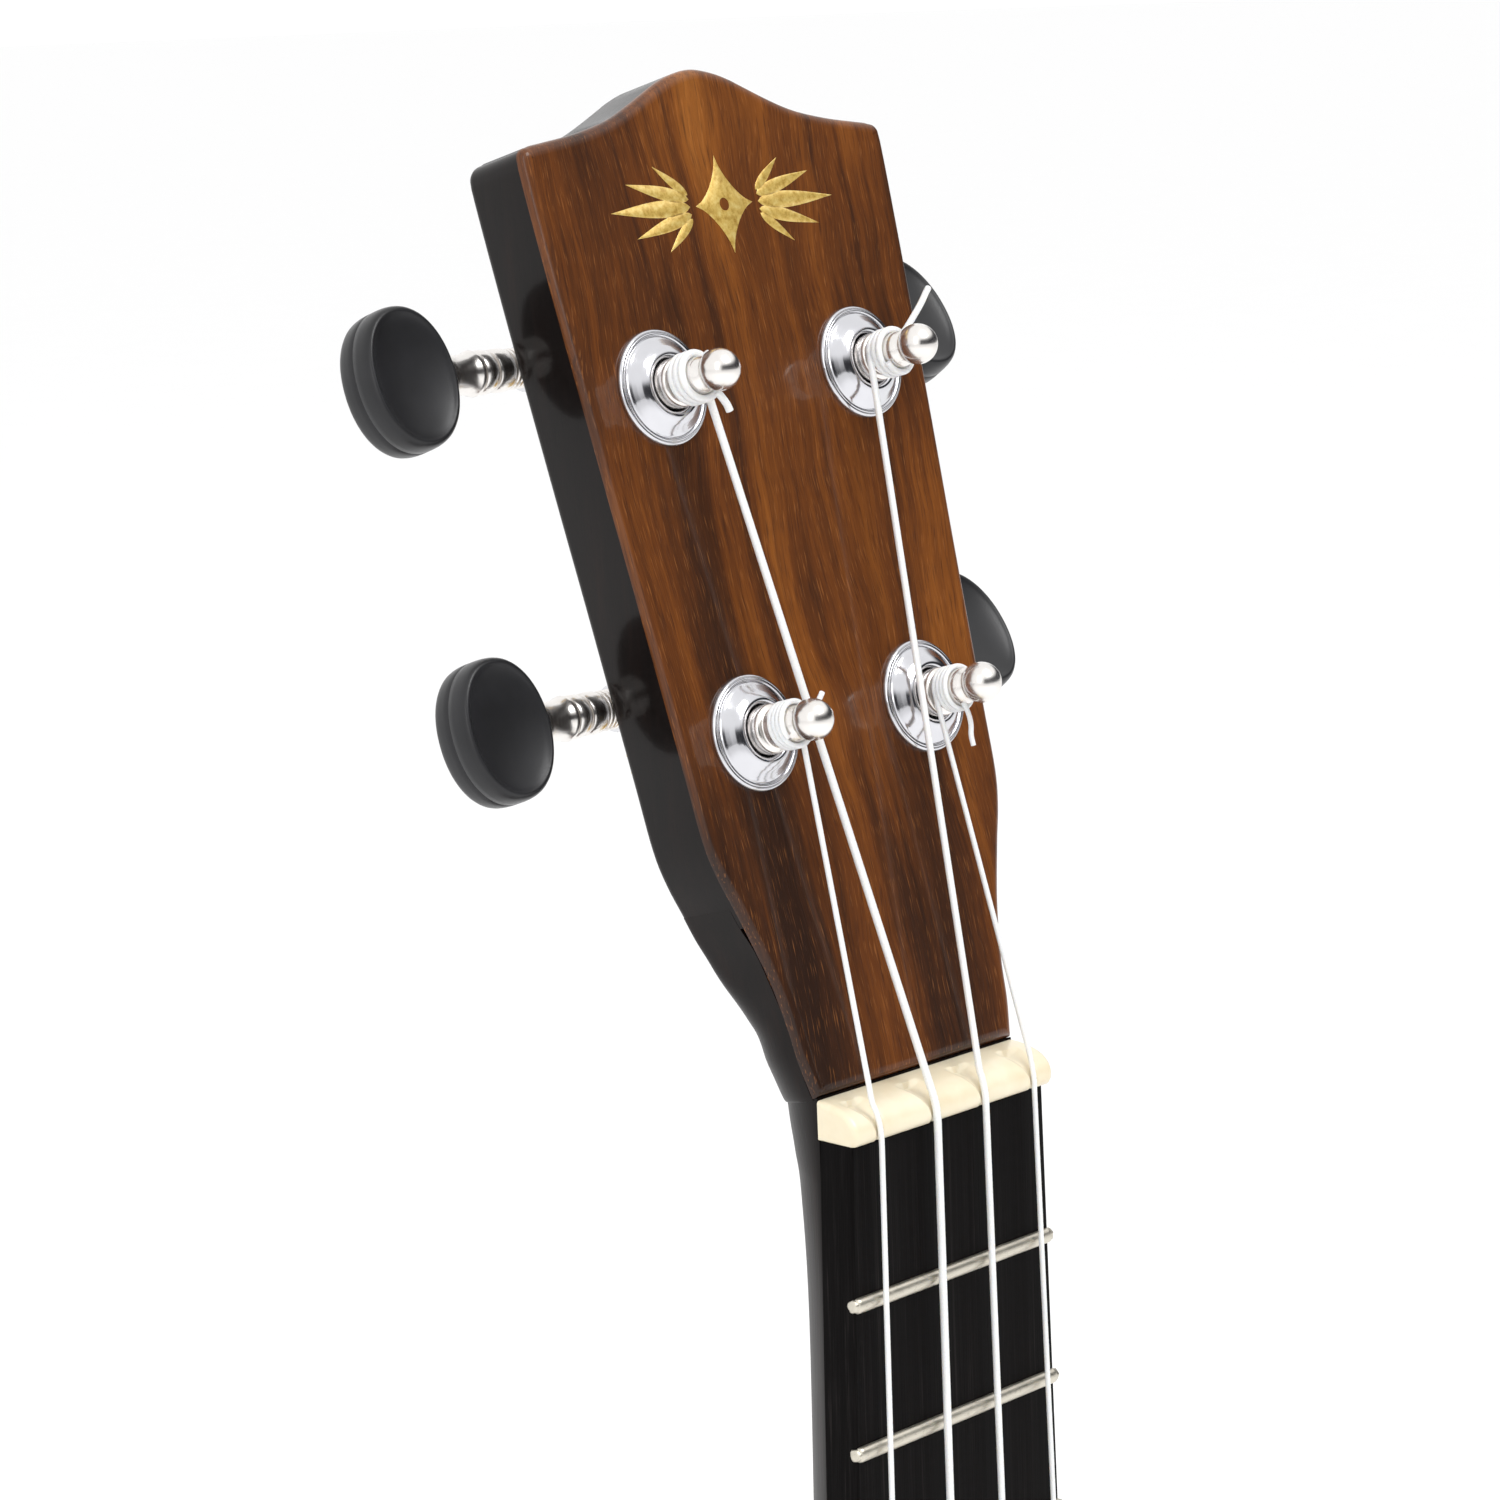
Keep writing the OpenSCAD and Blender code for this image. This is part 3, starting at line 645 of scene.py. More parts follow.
def head_outline(s0, r=1.4):
    full = [(17.7, 0.5)] + HEAD_PTS
    full = full + [(-x, s) for x, s in full[-2::-1]]
    line = catmull(full, 5)
    # round the two upper corners
    line = [np.array(p) for p in line]
    for sgn in (1, -1):
        c0 = np.array([sgn * (29.55 - (r - 1.4)), 114.35 - (r - 1.4)])
        arc = [c0 + r * np.array([sgn * math.cos(t), math.sin(t)]) for t in np.linspace(0, math.pi / 2, 10)][::sgn]
        out = []
        for p in line:
            q = p - c0
            if q[0] * sgn > 0 and q[1] > 0:
                out += arc
                arc = []
            else:
                out.append(p)
        line = out
    line = [p for p in line if p[1] >= s0 - 1e-6]
    # exact lower corners
    w = np.interp(s0, [0.5] + [p[1] for p in HEAD_PTS[:13]], [17.7] + [p[0] for p in HEAD_PTS[:13]])
    if line[0][1] > s0 + 1e-6:
        line = [np.array([w, s0])] + line + [np.array([-w, s0])]
    return [tuple(p) for p in line]


TUNERS = {"g": (-1, 15.1, 44.0, -4, 0.70), "c": (-1, 17.4, 85.9, -4, 0.97), "e": (1, 17.4, 85.9, -20, 0.85), "a": (1, 15.1, 44.0, -20, 0.66)}
post_holes = [circle(sg * x, s, 4.2, 48) for sg, x, s, _, _ in TUNERS.values()]
plate("headstock_back", head_outline(22.0, 2.0), rounded(-10.5, -1.3, 1.2, 0.0), H, MAT["dark"], holes=post_holes, replaces=("headstock",), slot="neck_wood", angle=40)
plate("headstock_face", head_outline(0.5), [(0, -1.3), (0, -1.05), (0.06, -0.75), (0.2, -0.47), (0.42, -0.24), (0.7, -0.09), (1.05, -0.015), (1.5, 0.0)],
      H, MAT["face"], holes=post_holes, replaces=("head_veneer",), slot="face_veneer", angle=50)

# ------------------------------------------------------------------ neck with heel


def sup(c, p):
    return math.copysign(abs(c) ** p, c)


# front line (y, z), back line (y, z), half width, m, n
def hz(s, h):
    p = HO + ES * s + EH * h
    return (p.y + 12, p.z + 14)


def moon_row(y, z, f, a, d, m, n):
    return [y, z, y + d * math.cos(f), z - d * math.sin(f), a, m, n]


def head_row(s, a, d, m, n):
    y, z = hz(s, -1.3)
    return moon_row(y, z, TILT, a, d, m, n)


NECK = [head_row(24.5, 23.5, 9.22, 28, 28), head_row(22, 22.62, 9.22, 26, 26), head_row(18.5, 21.4, 9.3, 15, 15), head_row(14.5, 20.35, 9.8, 6.5, 6.5), head_row(10, 19.25, 11, 3.4, 3.2), head_row(5, 18.7, 12.8, 2.4, 2.3),
        head_row(0.5, 17.75, 14.0, 2.1, 1.85), moon_row(5, 4.9, TILT, 17.7, 14.8, 2.1, 1.75), moon_row(5, 0.5, 0.105, 17.6, 14.9, 2, 1.55),
        moon_row(5, -4, 0, 17.6, 14.5, 2, 1.4), moon_row(5, -9, 0, 17.7, 14.0, 2, 1.25)] + \
       [moon_row(5, z, 0, 17.5 - 0.0225 * z, d, 2, 1.1) for z, d in ((-25, 13.5), (-60, 13.7), (-100, 14), (-122, 14.4))] + \
       [[5, -140, 20.6, -131, 20.65, 2, 1.15], [5, -156, 23.2, -138.5, 21.0, 2, 1.2], [5, -168, 27.5, -145.5, 21.2, 2, 1.25],
        [10, -172.5, 33.5, -151.5, 20.6, 2.1, 1.3], [21, -172.5, 41, -156, 18.8, 2.1, 1.35], [33, -172.5, 48.5, -158.3, 16.4, 2.1, 1.4],
        [45, -172.5, 55, -159.2, 14.2, 2.1, 1.45], [56, -172.5, 60, -159.5, 12.6, 2.1, 1.5], [62, -172.5, 62, -159.5, 12.2, 2.1, 1.5]]


def neck_piece():
    rows = catmull(NECK, 6)
    K = 40
    verts, faces = [], []
    for r in rows:
        fy, fz, by, bz, a, m, n = r
        for i in range(K + 1):
            t = math.pi * i / K
            x = a * sup(math.cos(t), 2 / m)
            q = max(math.sin(t), 0) ** (2 / n)
            verts.append(N(x, fy + (by - fy) * q, fz + (bz - fz) * q))
    k = K + 1
    for i in range(len(rows) - 1):
        for j in range(k):
            faces.append((i * k + j, i * k + (j + 1) % k, (i + 1) * k + (j + 1) % k, (i + 1) * k + j))
    faces.append(tuple(range(k)))
    faces.append(tuple(((len(rows) - 1) * k + j) for j in range(k))[::-1])
    return mesh_obj("neck_carved", verts, faces, MAT["neck"], replaces=("neck",), slot="neck_wood", angle=50)


neck_piece()

# ------------------------------------------------------------------ tuning machines
WX = 6.6     # worm axis above the post axis
WH = -15.2   # and this far below the face
PITCH = 0.7 * math.pi


def local(c):
    sg, px, ps, _, _ = TUNERS[c]
    return lambda u, v, h: H(sg * (px + u), ps + v, h)


def along_shaft(c, turn=0.0):
    """x, y, h of a lathe mapped so that h runs outboard along the worm axis"""
    P = local(c)
    ca, sa = math.cos(math.radians(turn)), math.sin(math.radians(turn))
    return lambda x, y, h: P(h, WX + x * ca - y * sa, WH + x * sa + y * ca)


BUSH = fillet([(3.08, -1.6), (3.10, -1.2), (3.10, 1.5), (3.16, 1.95), (3.36, 2.2), (3.62, 2.32), (3.95, 2.28), (4.3, 2.1), (4.75, 1.78), (5.25, 1.34), (5.7, 0.96), (5.98, 0.76),
               (6.08, 0.62), (6.16, 0.60), (6.26, 0.70), (6.42, 0.72), (6.50, 0.64), (6.58, 0.64), (6.70, 0.68), (6.9, 0.56), (7.0, 0.34), (7.0, 0.04), (6.9, 0.0), (4.2, 0.0), (4.2, -8.0), (3.08, -8.0), (3.08, -1.6)], 0.1, 3)
POST = fillet([(0, -17.2), (1.7, -17.2), (1.7, -12.9), (3.0, -12.9), (3.0, 3.3), (2.92, 3.6), (2.6, 3.78), (2.3, 3.9), (2.26, 6.9), (2.18, 7.3),
               (1.98, 7.7), (1.8, 8.0), (1.72, 8.22)], 0.14, 3) + \
       [(2.5 * math.cos(a), 9.95 + 2.5 * math.sin(a)) for a in np.radians(np.linspace(-46, 89, 26))] + [(0, 12.45)]
BEADS = [(0, -7.7), (1.35, -7.7), (1.5, -7.55), (1.5, 7.12), (2.35, 7.16), (2.45, 7.26), (2.45, 7.5), (2.3, 7.6), (1.9, 7.62)]
for u0, u1, r in ((7.78, 8.32, 2.42), (8.46, 9.0, 2.46), (9.14, 9.62, 2.42)):
    BEADS += [(1.95, u0), (r - 0.1, u0 + 0.06), (r, u0 + 0.18), (r, u1 - 0.18), (r - 0.1, u1 - 0.06), (1.95, u1)]


def barrel(u0, u1, r, dip=0.42):
    return [(r - dip, u0), (r - dip * 0.45, u0 + 0.1), (r - dip * 0.16, u0 + 0.34), (r - dip * 0.03, u0 + 0.8), (r, 0.5 * (u0 + u1)),
            (r - dip * 0.03, u1 - 0.8), (r - dip * 0.16, u1 - 0.34), (r - dip * 0.45, u1 - 0.1), (r - dip, u1)]


BEADS += [(1.8, 9.7), (1.8, 9.86)] + barrel(9.88, 12.42, 2.62) + [(1.85, 12.46), (1.85, 12.72)] + barrel(12.76, 14.7, 2.68)
BEADS += [(2.0, 14.74), (2.0, 14.9), (2.56, 14.94), (2.74, 15.08), (2.78, 15.3), (2.7, 15.6), (2.52, 16.0), (2.42, 16.7), (2.42, 17.6), (2.5, 18.4), (2.64, 19.1), (2.76, 19.6), (2.78, 19.85), (1.4, 19.9), (1.4, 28.5), (0, 28.6)]


def worm_thread(c, mat):
    """one start thread round the shaft, with a rounded crest"""
    sg = TUNERS[c][0]
    P = local(c)
    verts, faces = [], []
    turns, per = 4.2, 40
    nst = int(turns * per)
    prof = [(-0.78, 1.45), (-0.70, 1.62), (-0.30, 2.95), (-0.20, 3.08), (0.20, 3.08), (0.30, 2.95), (0.70, 1.62), (0.78, 1.45)]
    for i in range(nst + 1):
        t = (i / nst - 0.5) * turns
        fade = min(1, (0.5 - abs(i / nst - 0.5)) * turns * 4)
        a = math.pi + 2 * math.pi * t
        for dz, r in prof:
            rr = 1.45 + (r - 1.45) * fade
            # right-hand helix in (v, h, u); the left machines mirror u
            verts.append(P(t * PITCH + dz, WX + rr * math.cos(a), WH + rr * math.sin(a)))
    k = len(prof)
    for i in range(nst):
        for j in range(k - 1):
            faces.append((i * k + j, i * k + j + 1, (i + 1) * k + j + 1, (i + 1) * k + j))
        faces.append((i * k + k - 1, i * k, (i + 1) * k, (i + 1) * k + k - 1))
    faces.append(tuple(range(k)))
    faces.append(tuple(nst * k + j for j in range(k))[::-1])
    return verts, faces


def button_piece(c):
    """oval button: satin rim with a faint parting line, a narrow raised ridge, dished broad faces"""
    ang = math.radians(TUNERS[c][3])
    P = local(c)
    n = 112
    a0, b0 = 6.65, 8.65
    T2 = 2.95
    # (inset from the oval in mm, height from the middle plane)
    half = [(0.0, 0.0), (0.03, 0.04), (0.03, 0.09), (0.0, 0.13), (0.0, 0.9), (0.03, 1.5), (0.10, 2.05), (0.20, 2.45), (0.34, 2.72), (0.50, 2.87), (0.68, T2),
            (0.84, 2.90), (1.0, 2.78), (1.25, 2.64), (1.7, 2.48), (2.4, 2.30), (3.3, 2.12), (4.3, 1.98), (5.3, 1.90)]
    rings = [(k, -h) for k, h in half[::-1]] + [(k, h) for k, h in half if h > 0]
    verts, faces = [], []
    ca, sa = math.cos(ang), math.sin(ang)

    def put(u, v, w):
        return P(26.2 + u, WX + v * ca - w * sa, WH + v * sa + w * ca)
    for k, w in rings:
        for j in range(n):
            t = 2 * math.pi * j / n
            e = 2 / 2.1
            kb = k * b0 / a0 if k > 1.5 else k * (1 + (b0 / a0 - 1) * k / 1.5)
            u, v = (a0 - k) * sup(math.cos(t), e), (b0 - kb) * sup(math.sin(t), e)
            verts.append(put(u, v, w))
    for i in range(len(rings) - 1):
        for j in range(n):
            faces.append((i * n + j, i * n + (j + 1) % n, (i + 1) * n + (j + 1) % n, (i + 1) * n + j))
    m = len(verts)
    verts += [put(0, 0, -1.87), put(0, 0, 1.87)]
    for j in range(n):
        faces.append((m, (j + 1) % n, j))
        faces.append((m + 1, (len(rings) - 1) * n + j, (len(rings) - 1) * n + (j + 1) % n))
    return mesh_obj("oval_button_" + c, verts, faces, MAT["button"], body="button_shaft_" + c, replaces=("button_" + c,), slot="button_plastic", angle=60)


def slot_disc(name, P, r, h0, h1, depth, w, cross, mat, body, dome=0.35, **kw):
    """a screw head seen from behind, with a real slot; P maps (x, y, h), h0 is the seat and h1 the outer face"""
    sgn = 1 if h1 > h0 else -1
    out = [(r, h0), (r, h1 - sgn * dome), (r * 0.92, h1 - sgn * dome * 0.45), (r * 0.72, h1 - sgn * dome * 0.12), (0, h1)]
    o = lathe(name, [(0, h0)] + out, P, mat, seg=40, body=None, **kw)
    for k in range(2 if cross else 1):
        a = math.pi / 2 * k + 0.5
        L = r * 1.2
        cs, sn = math.cos(a), math.sin(a)
        vs = []
        for x, y, h in [(-L, -w, h1 - sgn * depth), (L, -w, h1 - sgn * depth), (L, w, h1 - sgn * depth), (-L, w, h1 - sgn * depth),
                        (-L, -w, h1 + sgn), (L, -w, h1 + sgn), (L, w, h1 + sgn), (-L, w, h1 + sgn)]:
            vs.append(P(x * cs - y * sn, x * sn + y * cs, h))
        me = bpy.data.meshes.new("cut")
        me.from_pydata([tuple(v) for v in vs], [], [(0, 3, 2, 1), (4, 5, 6, 7), (0, 1, 5, 4), (1, 2, 6, 5), (2, 3, 7, 6), (3, 0, 4, 7)])
        b2 = bmesh.new()
        b2.from_mesh(me)
        bmesh.ops.recalc_face_normals(b2, faces=b2.faces)
        b2.to_mesh(me)
        b2.free()
        cut = bpy.data.objects.new("cut", me)
        bpy.context.scene.collection.objects.link(cut)
        md = o.modifiers.new("slot", "BOOLEAN")
        md.operation = "DIFFERENCE"
        md.solver = "EXACT"
        md.object = cut
        bpy.context.view_layer.update()
        dg = bpy.context.evaluated_depsgraph_get()
        new = bpy.data.meshes.new_from_object(o.evaluated_get(dg))
        o.modifiers.clear()
        o.data = new
        new.shade_smooth()
        new.set_sharp_from_angle(angle=math.radians(35))
        bpy.data.objects.remove(cut)
    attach(o, body)
    return o


def join(objs, name):
    """merges pieces of one body into one object"""
    bm = bmesh.new()
    for o in objs:
        me = o.data
        off = len(bm.verts)
        bm.from_mesh(me)
    mats = objs[0].data.materials[:]
    me = bpy.data.meshes.new(name)
    bm.to_mesh(me)
    bm.free()
    for m in mats:
        me.materials.append(m)
    me.shade_smooth()
    me.set_sharp_from_angle(angle=math.radians(38))
    o = bpy.data.objects.new(name, me)
    bpy.context.scene.collection.objects.link(o)
    body = objs[0].get("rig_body")
    for q in objs:
        bpy.data.objects.remove(q)
    if body:
        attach(o, body)
    return o


def ear_line(w, n=20):
    """outline of a bearing ear in (v, h)"""
    pts = [(WX + w, -11.6), (WX + w, WH)]
    pts += [(WX + w * math.cos(a), WH + w * math.sin(a)) for a in np.linspace(0, -math.pi, n)[1:-1]]
    pts += [(WX - w, WH), (WX - w, -11.6)]
    return pts


for c, (sg, px, ps, turn, dia) in TUNERS.items():
    P = local(c)
    root_b, shaft_b, post_b = ROOT, "button_shaft_" + c, "string_post_" + c
    lathe("chrome_bushing_" + c, BUSH, P, MAT["chrome"], seg=120, replaces=("bushing_" + c,), slot="bushing_chrome", angle=48)
    lathe("string_post_ball_" + c, POST, P, MAT["nickel"], seg=80, body=post_b, replaces=("post_" + c,), slot="machine_nickel", angle=48)
    # shaft with turned collars and the worm
    parts = [lathe("s1", BEADS, along_shaft(c), MAT["nickel"], seg=56, body=shaft_b)]
    vs, fs = worm_thread(c, MAT["nickel"])
    parts.append(mesh_obj("s2", vs, fs, MAT["nickel"], body=shaft_b))
    o = join(parts, "button_shaft_worm_" + c)
    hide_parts("worm_" + c)
    button_piece(c)
    # base plate with its two ears
    pl = [(6.4, -9.5), (7, -8.9)]
    outline = []
    for cx, cy, a0, a1 in ((0, 13.5, 20, 160), (0, -9.5, 200, 340)):
        outline += [(4.2 * math.cos(math.radians(a)) + cx, 4.2 * math.sin(math.radians(a)) + cy) for a in np.linspace(a0, a1, 22)]
        sgx = -1 if cy > 0 else 1
        y0 = 11.6 if cy > 0 else -7.6
        seq = [(sgx * 7 * 1.0, y0), (sgx * 7, -y0 * 0 + (-7.6 if cy > 0 else 11.6))]
        outline += seq
    parts = [plate("p0", outline, rounded(-11.7, -10.5, 0.35, 0.0, 3), P, MAT["steel"], holes=[circle(0, 0, 3.3, 40), circle(0, -9.5, 1.25, 20), circle(0, 13.5, 1.25, 20)])]
    for u0 in (5, -7):
        parts.append(plate("p1", ear_line(2.9), [(0.25, u0), (0.08, u0 + 0.08), (0, u0 + 0.25), (0, u0 + 1.75), (0.08, u0 + 1.92), (0.25, u0 + 2)],
                           lambda x, y, h, P=P: P(h, x, y), MAT["steel"], holes=[circle(WX, WH, 1.56, 32)]))
    o = join(parts, "machine_plate_" + c)
    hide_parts("tuner_plate_" + c)
    # screws
    for i, v in enumerate((-9.5, 13.5)):
        o = slot_disc("wood_screw_%s%d" % (c, i), lambda x, y, h, P=P, v=v: P(x, v + y, h), 2.2, -11.7, -12.8, 0.75, 0.24, True, MAT["screw"], root_b)
        if c == "g" and i == 0:
            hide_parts("tuner_screws")
    o = slot_disc("wheel_screw_" + c, P, 2.5, -17.22, -18.65, 0.7, 0.32, False, MAT["screw"], post_b)
    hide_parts("pinion_screw_" + c)
    frame["nodes"]["pinion_" + c].data.materials.clear()
    frame["nodes"]["pinion_" + c].data.materials.append(MAT["brass"])

# ------------------------------------------------------------------ gold inlay: a lozenge between tapering bars


def ornament():
    C = 107.0

    def leaf(x0, x1, s0, s1, w):
        """thin pointed bar from (x0, s0) to (x1, s1)"""
        p, q = np.array([x0, s0]), np.array([x1, s1])
        d = (q - p) / np.linalg.norm(q - p)
        nrm = np.array([-d[1], d[0]])
        L = np.linalg.norm(q - p)
        up = [p + d * L * t + nrm * w * math.sin(math.pi * t ** 0.62) for t in np.linspace(0, 1, 25)]
        dn = [p + d * L * t - nrm * w * math.sin(math.pi * t ** 0.62) for t in np.linspace(1, 0, 25)[1:-1]]
        return [tuple(v) for v in up + dn]
    shapes = []
    for sg in (-1, 1):
        for x1, s1, w in ((19.2, C, 1.05), (15.8, C + 3.3, 0.85), (15.8, C - 3.3, 0.85), (10.8, C + 5.2, 0.6), (10.8, C - 5.2, 0.6)):
            shapes.append(leaf(sg * 5.9, sg * x1, C + (s1 - C) * 0.28, s1, w))
    objs = []
    prof = [(0.0, 0.0), (0.0, 0.022), (0.03, 0.04), (0.08, 0.045)]
    for k, sh in enumerate(shapes):
        if area2(sh) < 0:
            sh = sh[::-1]
        objs.append(plate("leaf", sh, [(0, 0.0), (0, 0.035), (0.02, 0.045)], H, MAT["gold"]))
    star = []
    for k in range(64):
        a = 2 * math.pi * k / 64
        r = 1.0 / (abs(math.cos(a)) ** 0.72 + abs(math.sin(a)) ** 0.72) ** (1 / 0.72)
        star.append((4.9 * r * math.cos(a), C + 6.0 * r * math.sin(a)))
    objs.append(plate("star", star, [(0, 0.0), (0, 0.035), (0.02, 0.045)], H, MAT["gold"], holes=[circle(0, C, 0.8, 24)]))
    o = join(objs, "gold_inlay_lozenge")
    return o


ornament()

# ------------------------------------------------------------------ strings
NXS = {"g": -13.8, "c": -3.9, "e": 5.1, "a": 14.4}
BXS = {"g": -20, "c": -6.6, "e": 6.9, "a": 20.3}
TURNS = {"g": 3.6, "c": 3.15, "e": 2.9, "a": 3.6}
TAKES = {"g": 5.2, "c": 4.35, "e": 4.4, "a": 4.5}
LAY = 0.90   # each turn beds a little into the last
TAILS = {  # points in the machine's local frame after the wound string's end
    "c": [(-1.5, -2.2, 7.35), (-2.0, -2.95, 7.4), (-2.6, -3.8, 7.35), (-3.0, -4.6, 7.2)],
    "e": [(-0.6, 1.2, 7.3), (0.9, 2.2, 7.7), (2.6, 3.6, 7.9), (4.5, 5.1, 7.9), (6.0, 6.4, 7.8), (6.9, 7.0, 7.6)],
    "a": [(-0.9, -1.6, 7.0), (-0.4, -3.1, 7.1), (-0.2, -4.6, 7.0), (-0.5, -6.0, 6.9), (-0.4, -7.3, 6.8)],
    "g": [(-2.7, 1.1, 7.6), (-3.7, 1.9, 7.8), (-4.6, 2.9, 8.0)],
}


def smooth_line(P, q=8):
    return [Vector(p) for p in catmull(P, q)]


for c, (sg, px, ps, turn, dia) in TUNERS.items():
    P = local(c)
    r = dia / 2
    R = 2.28 + r
    nx, bx = NXS[c], BXS[c]
    # direction of arrival at the post
    tx = sg * (px - R)
    al = math.atan2(sg * (tx - nx), ps)
    TAKE = TAKES[c]
    end = P(-R * math.cos(al), R * math.sin(al), TAKE)
    a = [N(nx * 0.996, -1.05 - r, 0.0), N(nx, -1.02 - r, 0.9), N(nx * 1.002, -0.86 - r, 2.2), N(nx * 1.01, -0.45 - r, 3.7), N(nx * 1.02, 0.0 - r, 4.9)]
    back = a[-1]
    line = [N(bx, -1.2, -363.9), N(bx, -1.2, -360), N(bx, -1.25, -356), N(bx, -1.7, -353.4), N(bx, -3.2, -350.6), N(bx, -4.9 - r, -348.0), N(bx, -5.22 - r, -347.2), N(bx, -5.2 - r, -346.2)]
    p0 = line[-1]
    for k in (0.02, 0.1, 0.3, 0.5, 0.7, 0.9, 0.985):
        line.append(p0.lerp(a[0], k))
    line += a
    for k in (0.06, 0.2, 0.5, 0.8, 0.95):
        line.append(back.lerp(end, k))
    line.append(end)
    tube_obj("nylon_string_" + c, smooth_line([tuple(p) for p in line], 6), r, MAT["nylon"], seg=14, replaces=("string_" + c,), slot="string_nylon", angle=80)
    # knot at the tie block
    kn = []
    for i in range(61):
        t = 2 * math.pi * i / 30
        kn.append(N(bx + 1.0 * math.sin(t * 1.5) * 0.9, -1.3 + 0.75 * math.cos(t * 1.5), -365.0 + 0.55 * math.sin(t)))
    tube_obj("string_knot_" + c, kn, r * 0.95, MAT["nylon"], seg=8, slot="string_nylon", angle=80)
    # wound turns and the cut end
    T = TURNS[c]
    pts = []
    nstep = int(T * 40)
    for i in range(nstep + 1):
        f = al + 2 * math.pi * T * i / nstep
        pts.append((-R * math.cos(f), R * math.sin(f), TAKE + dia * LAY * (f - al) / (2 * math.pi)))
    fe = al + 2 * math.pi * T
    tail = TAILS[c]
    pts3 = [P(*p) for p in pts]
    tl = smooth_line([tuple(P(*p)) for p in [pts[-4], pts[-1]] + [tail[0]] + tail[1:]], 6)
    tube_obj("wound_string_" + c, pts3, r, MAT["nylon"], seg=14, body="string_post_" + c, replaces=("winding_" + c,), slot="string_nylon", angle=80)
    tube_obj("string_end_" + c, [P(*tail[0])] + smooth_line([tuple(P(*p)) for p in tail], 6)[1:], r * 0.97, MAT["nylon"], seg=12, body="string_post_" + c, slot="string_nylon", angle=80)

# ------------------------------------------------------------------ nut
NUTP = [(5, 0.02), (-0.35, 0.0), (-0.75, 0.12), (-1.08, 0.45), (-1.28, 0.95), (-1.33, 1.5), (-1.25, 2.05), (-1.02, 2.6), (-0.62, 3.15), (-0.05, 3.65), (0.7, 4.08), (1.6, 4.4), (2.7, 4.66), (3.9, 4.82), (5, 4.85)]


def nut_piece():
    prof = catmull(NUTP[1:-1], 3)
    prof = [np.array(NUTP[0])] + list(prof) + [np.array(NUTP[-1])]
    nx = 240
    L = 18.2
    top0 = 3
    verts, faces = [], []
    k = len(prof)
    # rounded ends: the profile shrinks in the last 0.85 mm
    xs = []
    for i in range(nx + 1):
        xs.append(-L + 2 * L * i / nx)
    R = 0.85
    ends = [R * (1 - math.sin(math.pi / 2 * i / 9)) for i in range(1, 10)]
    xs = [-L + d for d in [R] + ends][::-1] + [x for x in xs if abs(x) < L - R - 0.05] + [L - d for d in [R] + ends]
    for x in xs:
        e = max(0.0, 1 - (L - abs(x)) / R)
        sh = R * (1 - math.sqrt(max(0.0, 1 - e * e)))
        for j, p in enumerate(prof):
            y, z = float(p[0]), float(p[1])
            # shrink towards the middle of the section at the ends
            cy, cz = 3.0, 2.3
            dy, dz = y - cy, z - cz
            d = math.hypot(dy, dz)
            y2, z2 = y - dy / d * sh, z - dz / d * sh
            # string slots: narrow at the front, flared and deeper towards the headstock
            f = min(max((z - 0.2) / 4.4, 0.0), 1.0)
            if y < 2.5:
                cut = 0.0
                for c in "gcea":
                    sx = NXS[c] * (1 + 0.004 * f)
                    w = 0.42 + 0.5 * TUNERS[c][4] * 0.5 + 1.5 * f * f
                    q = abs(x - sx + 0.35 * f * w) / w
                    if q < 1:
                        cut = max(cut, (0.34 + 0.55 * f) * (1 - q * q) ** 1.2)
                n_y, n_z = (-math.cos(math.pi / 2 * f * 0.9), math.sin(math.pi / 2 * f * 0.9))
                y2 -= n_y * cut
                z2 -= n_z * cut * 0.8
            verts.append(N(x, y2, z2))
    m = len(xs)
    for i in range(m - 1):
        for j in range(k - 1):
            faces.append((i * k + j, i * k + j + 1, (i + 1) * k + j + 1, (i + 1) * k + j))
        faces.append((i * k + k - 1, i * k, (i + 1) * k, (i + 1) * k + k - 1))
    faces.append(tuple(range(k)))
    faces.append(tuple((m - 1) * k + j for j in range(k))[::-1])
    return mesh_obj("bone_nut", verts, faces, MAT["bone"], replaces=("nut",), slot="bone", angle=60)


nut_piece()

# ------------------------------------------------------------------ fingerboard, frets, dots
BEND = -203.0


def hw(z):
    return 17.5 - 0.0225 * z


def fz(n):
    return -345 * (1 - 2 ** (-n / 12))


DOTS = [(5, 0), (7, 0), (10, 0), (12, -6), (12, 6), (15, 0)]


def dot_z(n):
    return (fz(n) + fz(n - 1)) / 2


board_line = [(-hw(0), 0), (hw(0), 0), (hw(BEND) - 0.0, BEND + 2.0), (hw(BEND) - 0.6, BEND + 0.6), (hw(BEND) - 2.0, BEND), (-hw(BEND) + 2.0, BEND), (-hw(BEND) + 0.6, BEND + 0.6), (-hw(BEND), BEND + 2.0)]
dense = []
for i in range(len(board_line)):
    p, q = np.array(board_line[i]), np.array(board_line[(i + 1) % len(board_line)])
    k = max(1, int(np.linalg.norm(q - p) / 6))
    dense += [tuple(p + (q - p) * j / k) for j in range(k)]
plate("ebonised_fingerboard", dense, rounded(0.0, 5.0, 0.0, 0.35, 4), lambda x, z, h: N(x, 5 - h, z), MAT["board"],
      holes=[circle(x, dot_z(n), 2.5, 40) for n, x in DOTS], replaces=("fretboard",), slot="fingerboard_wood", angle=40)


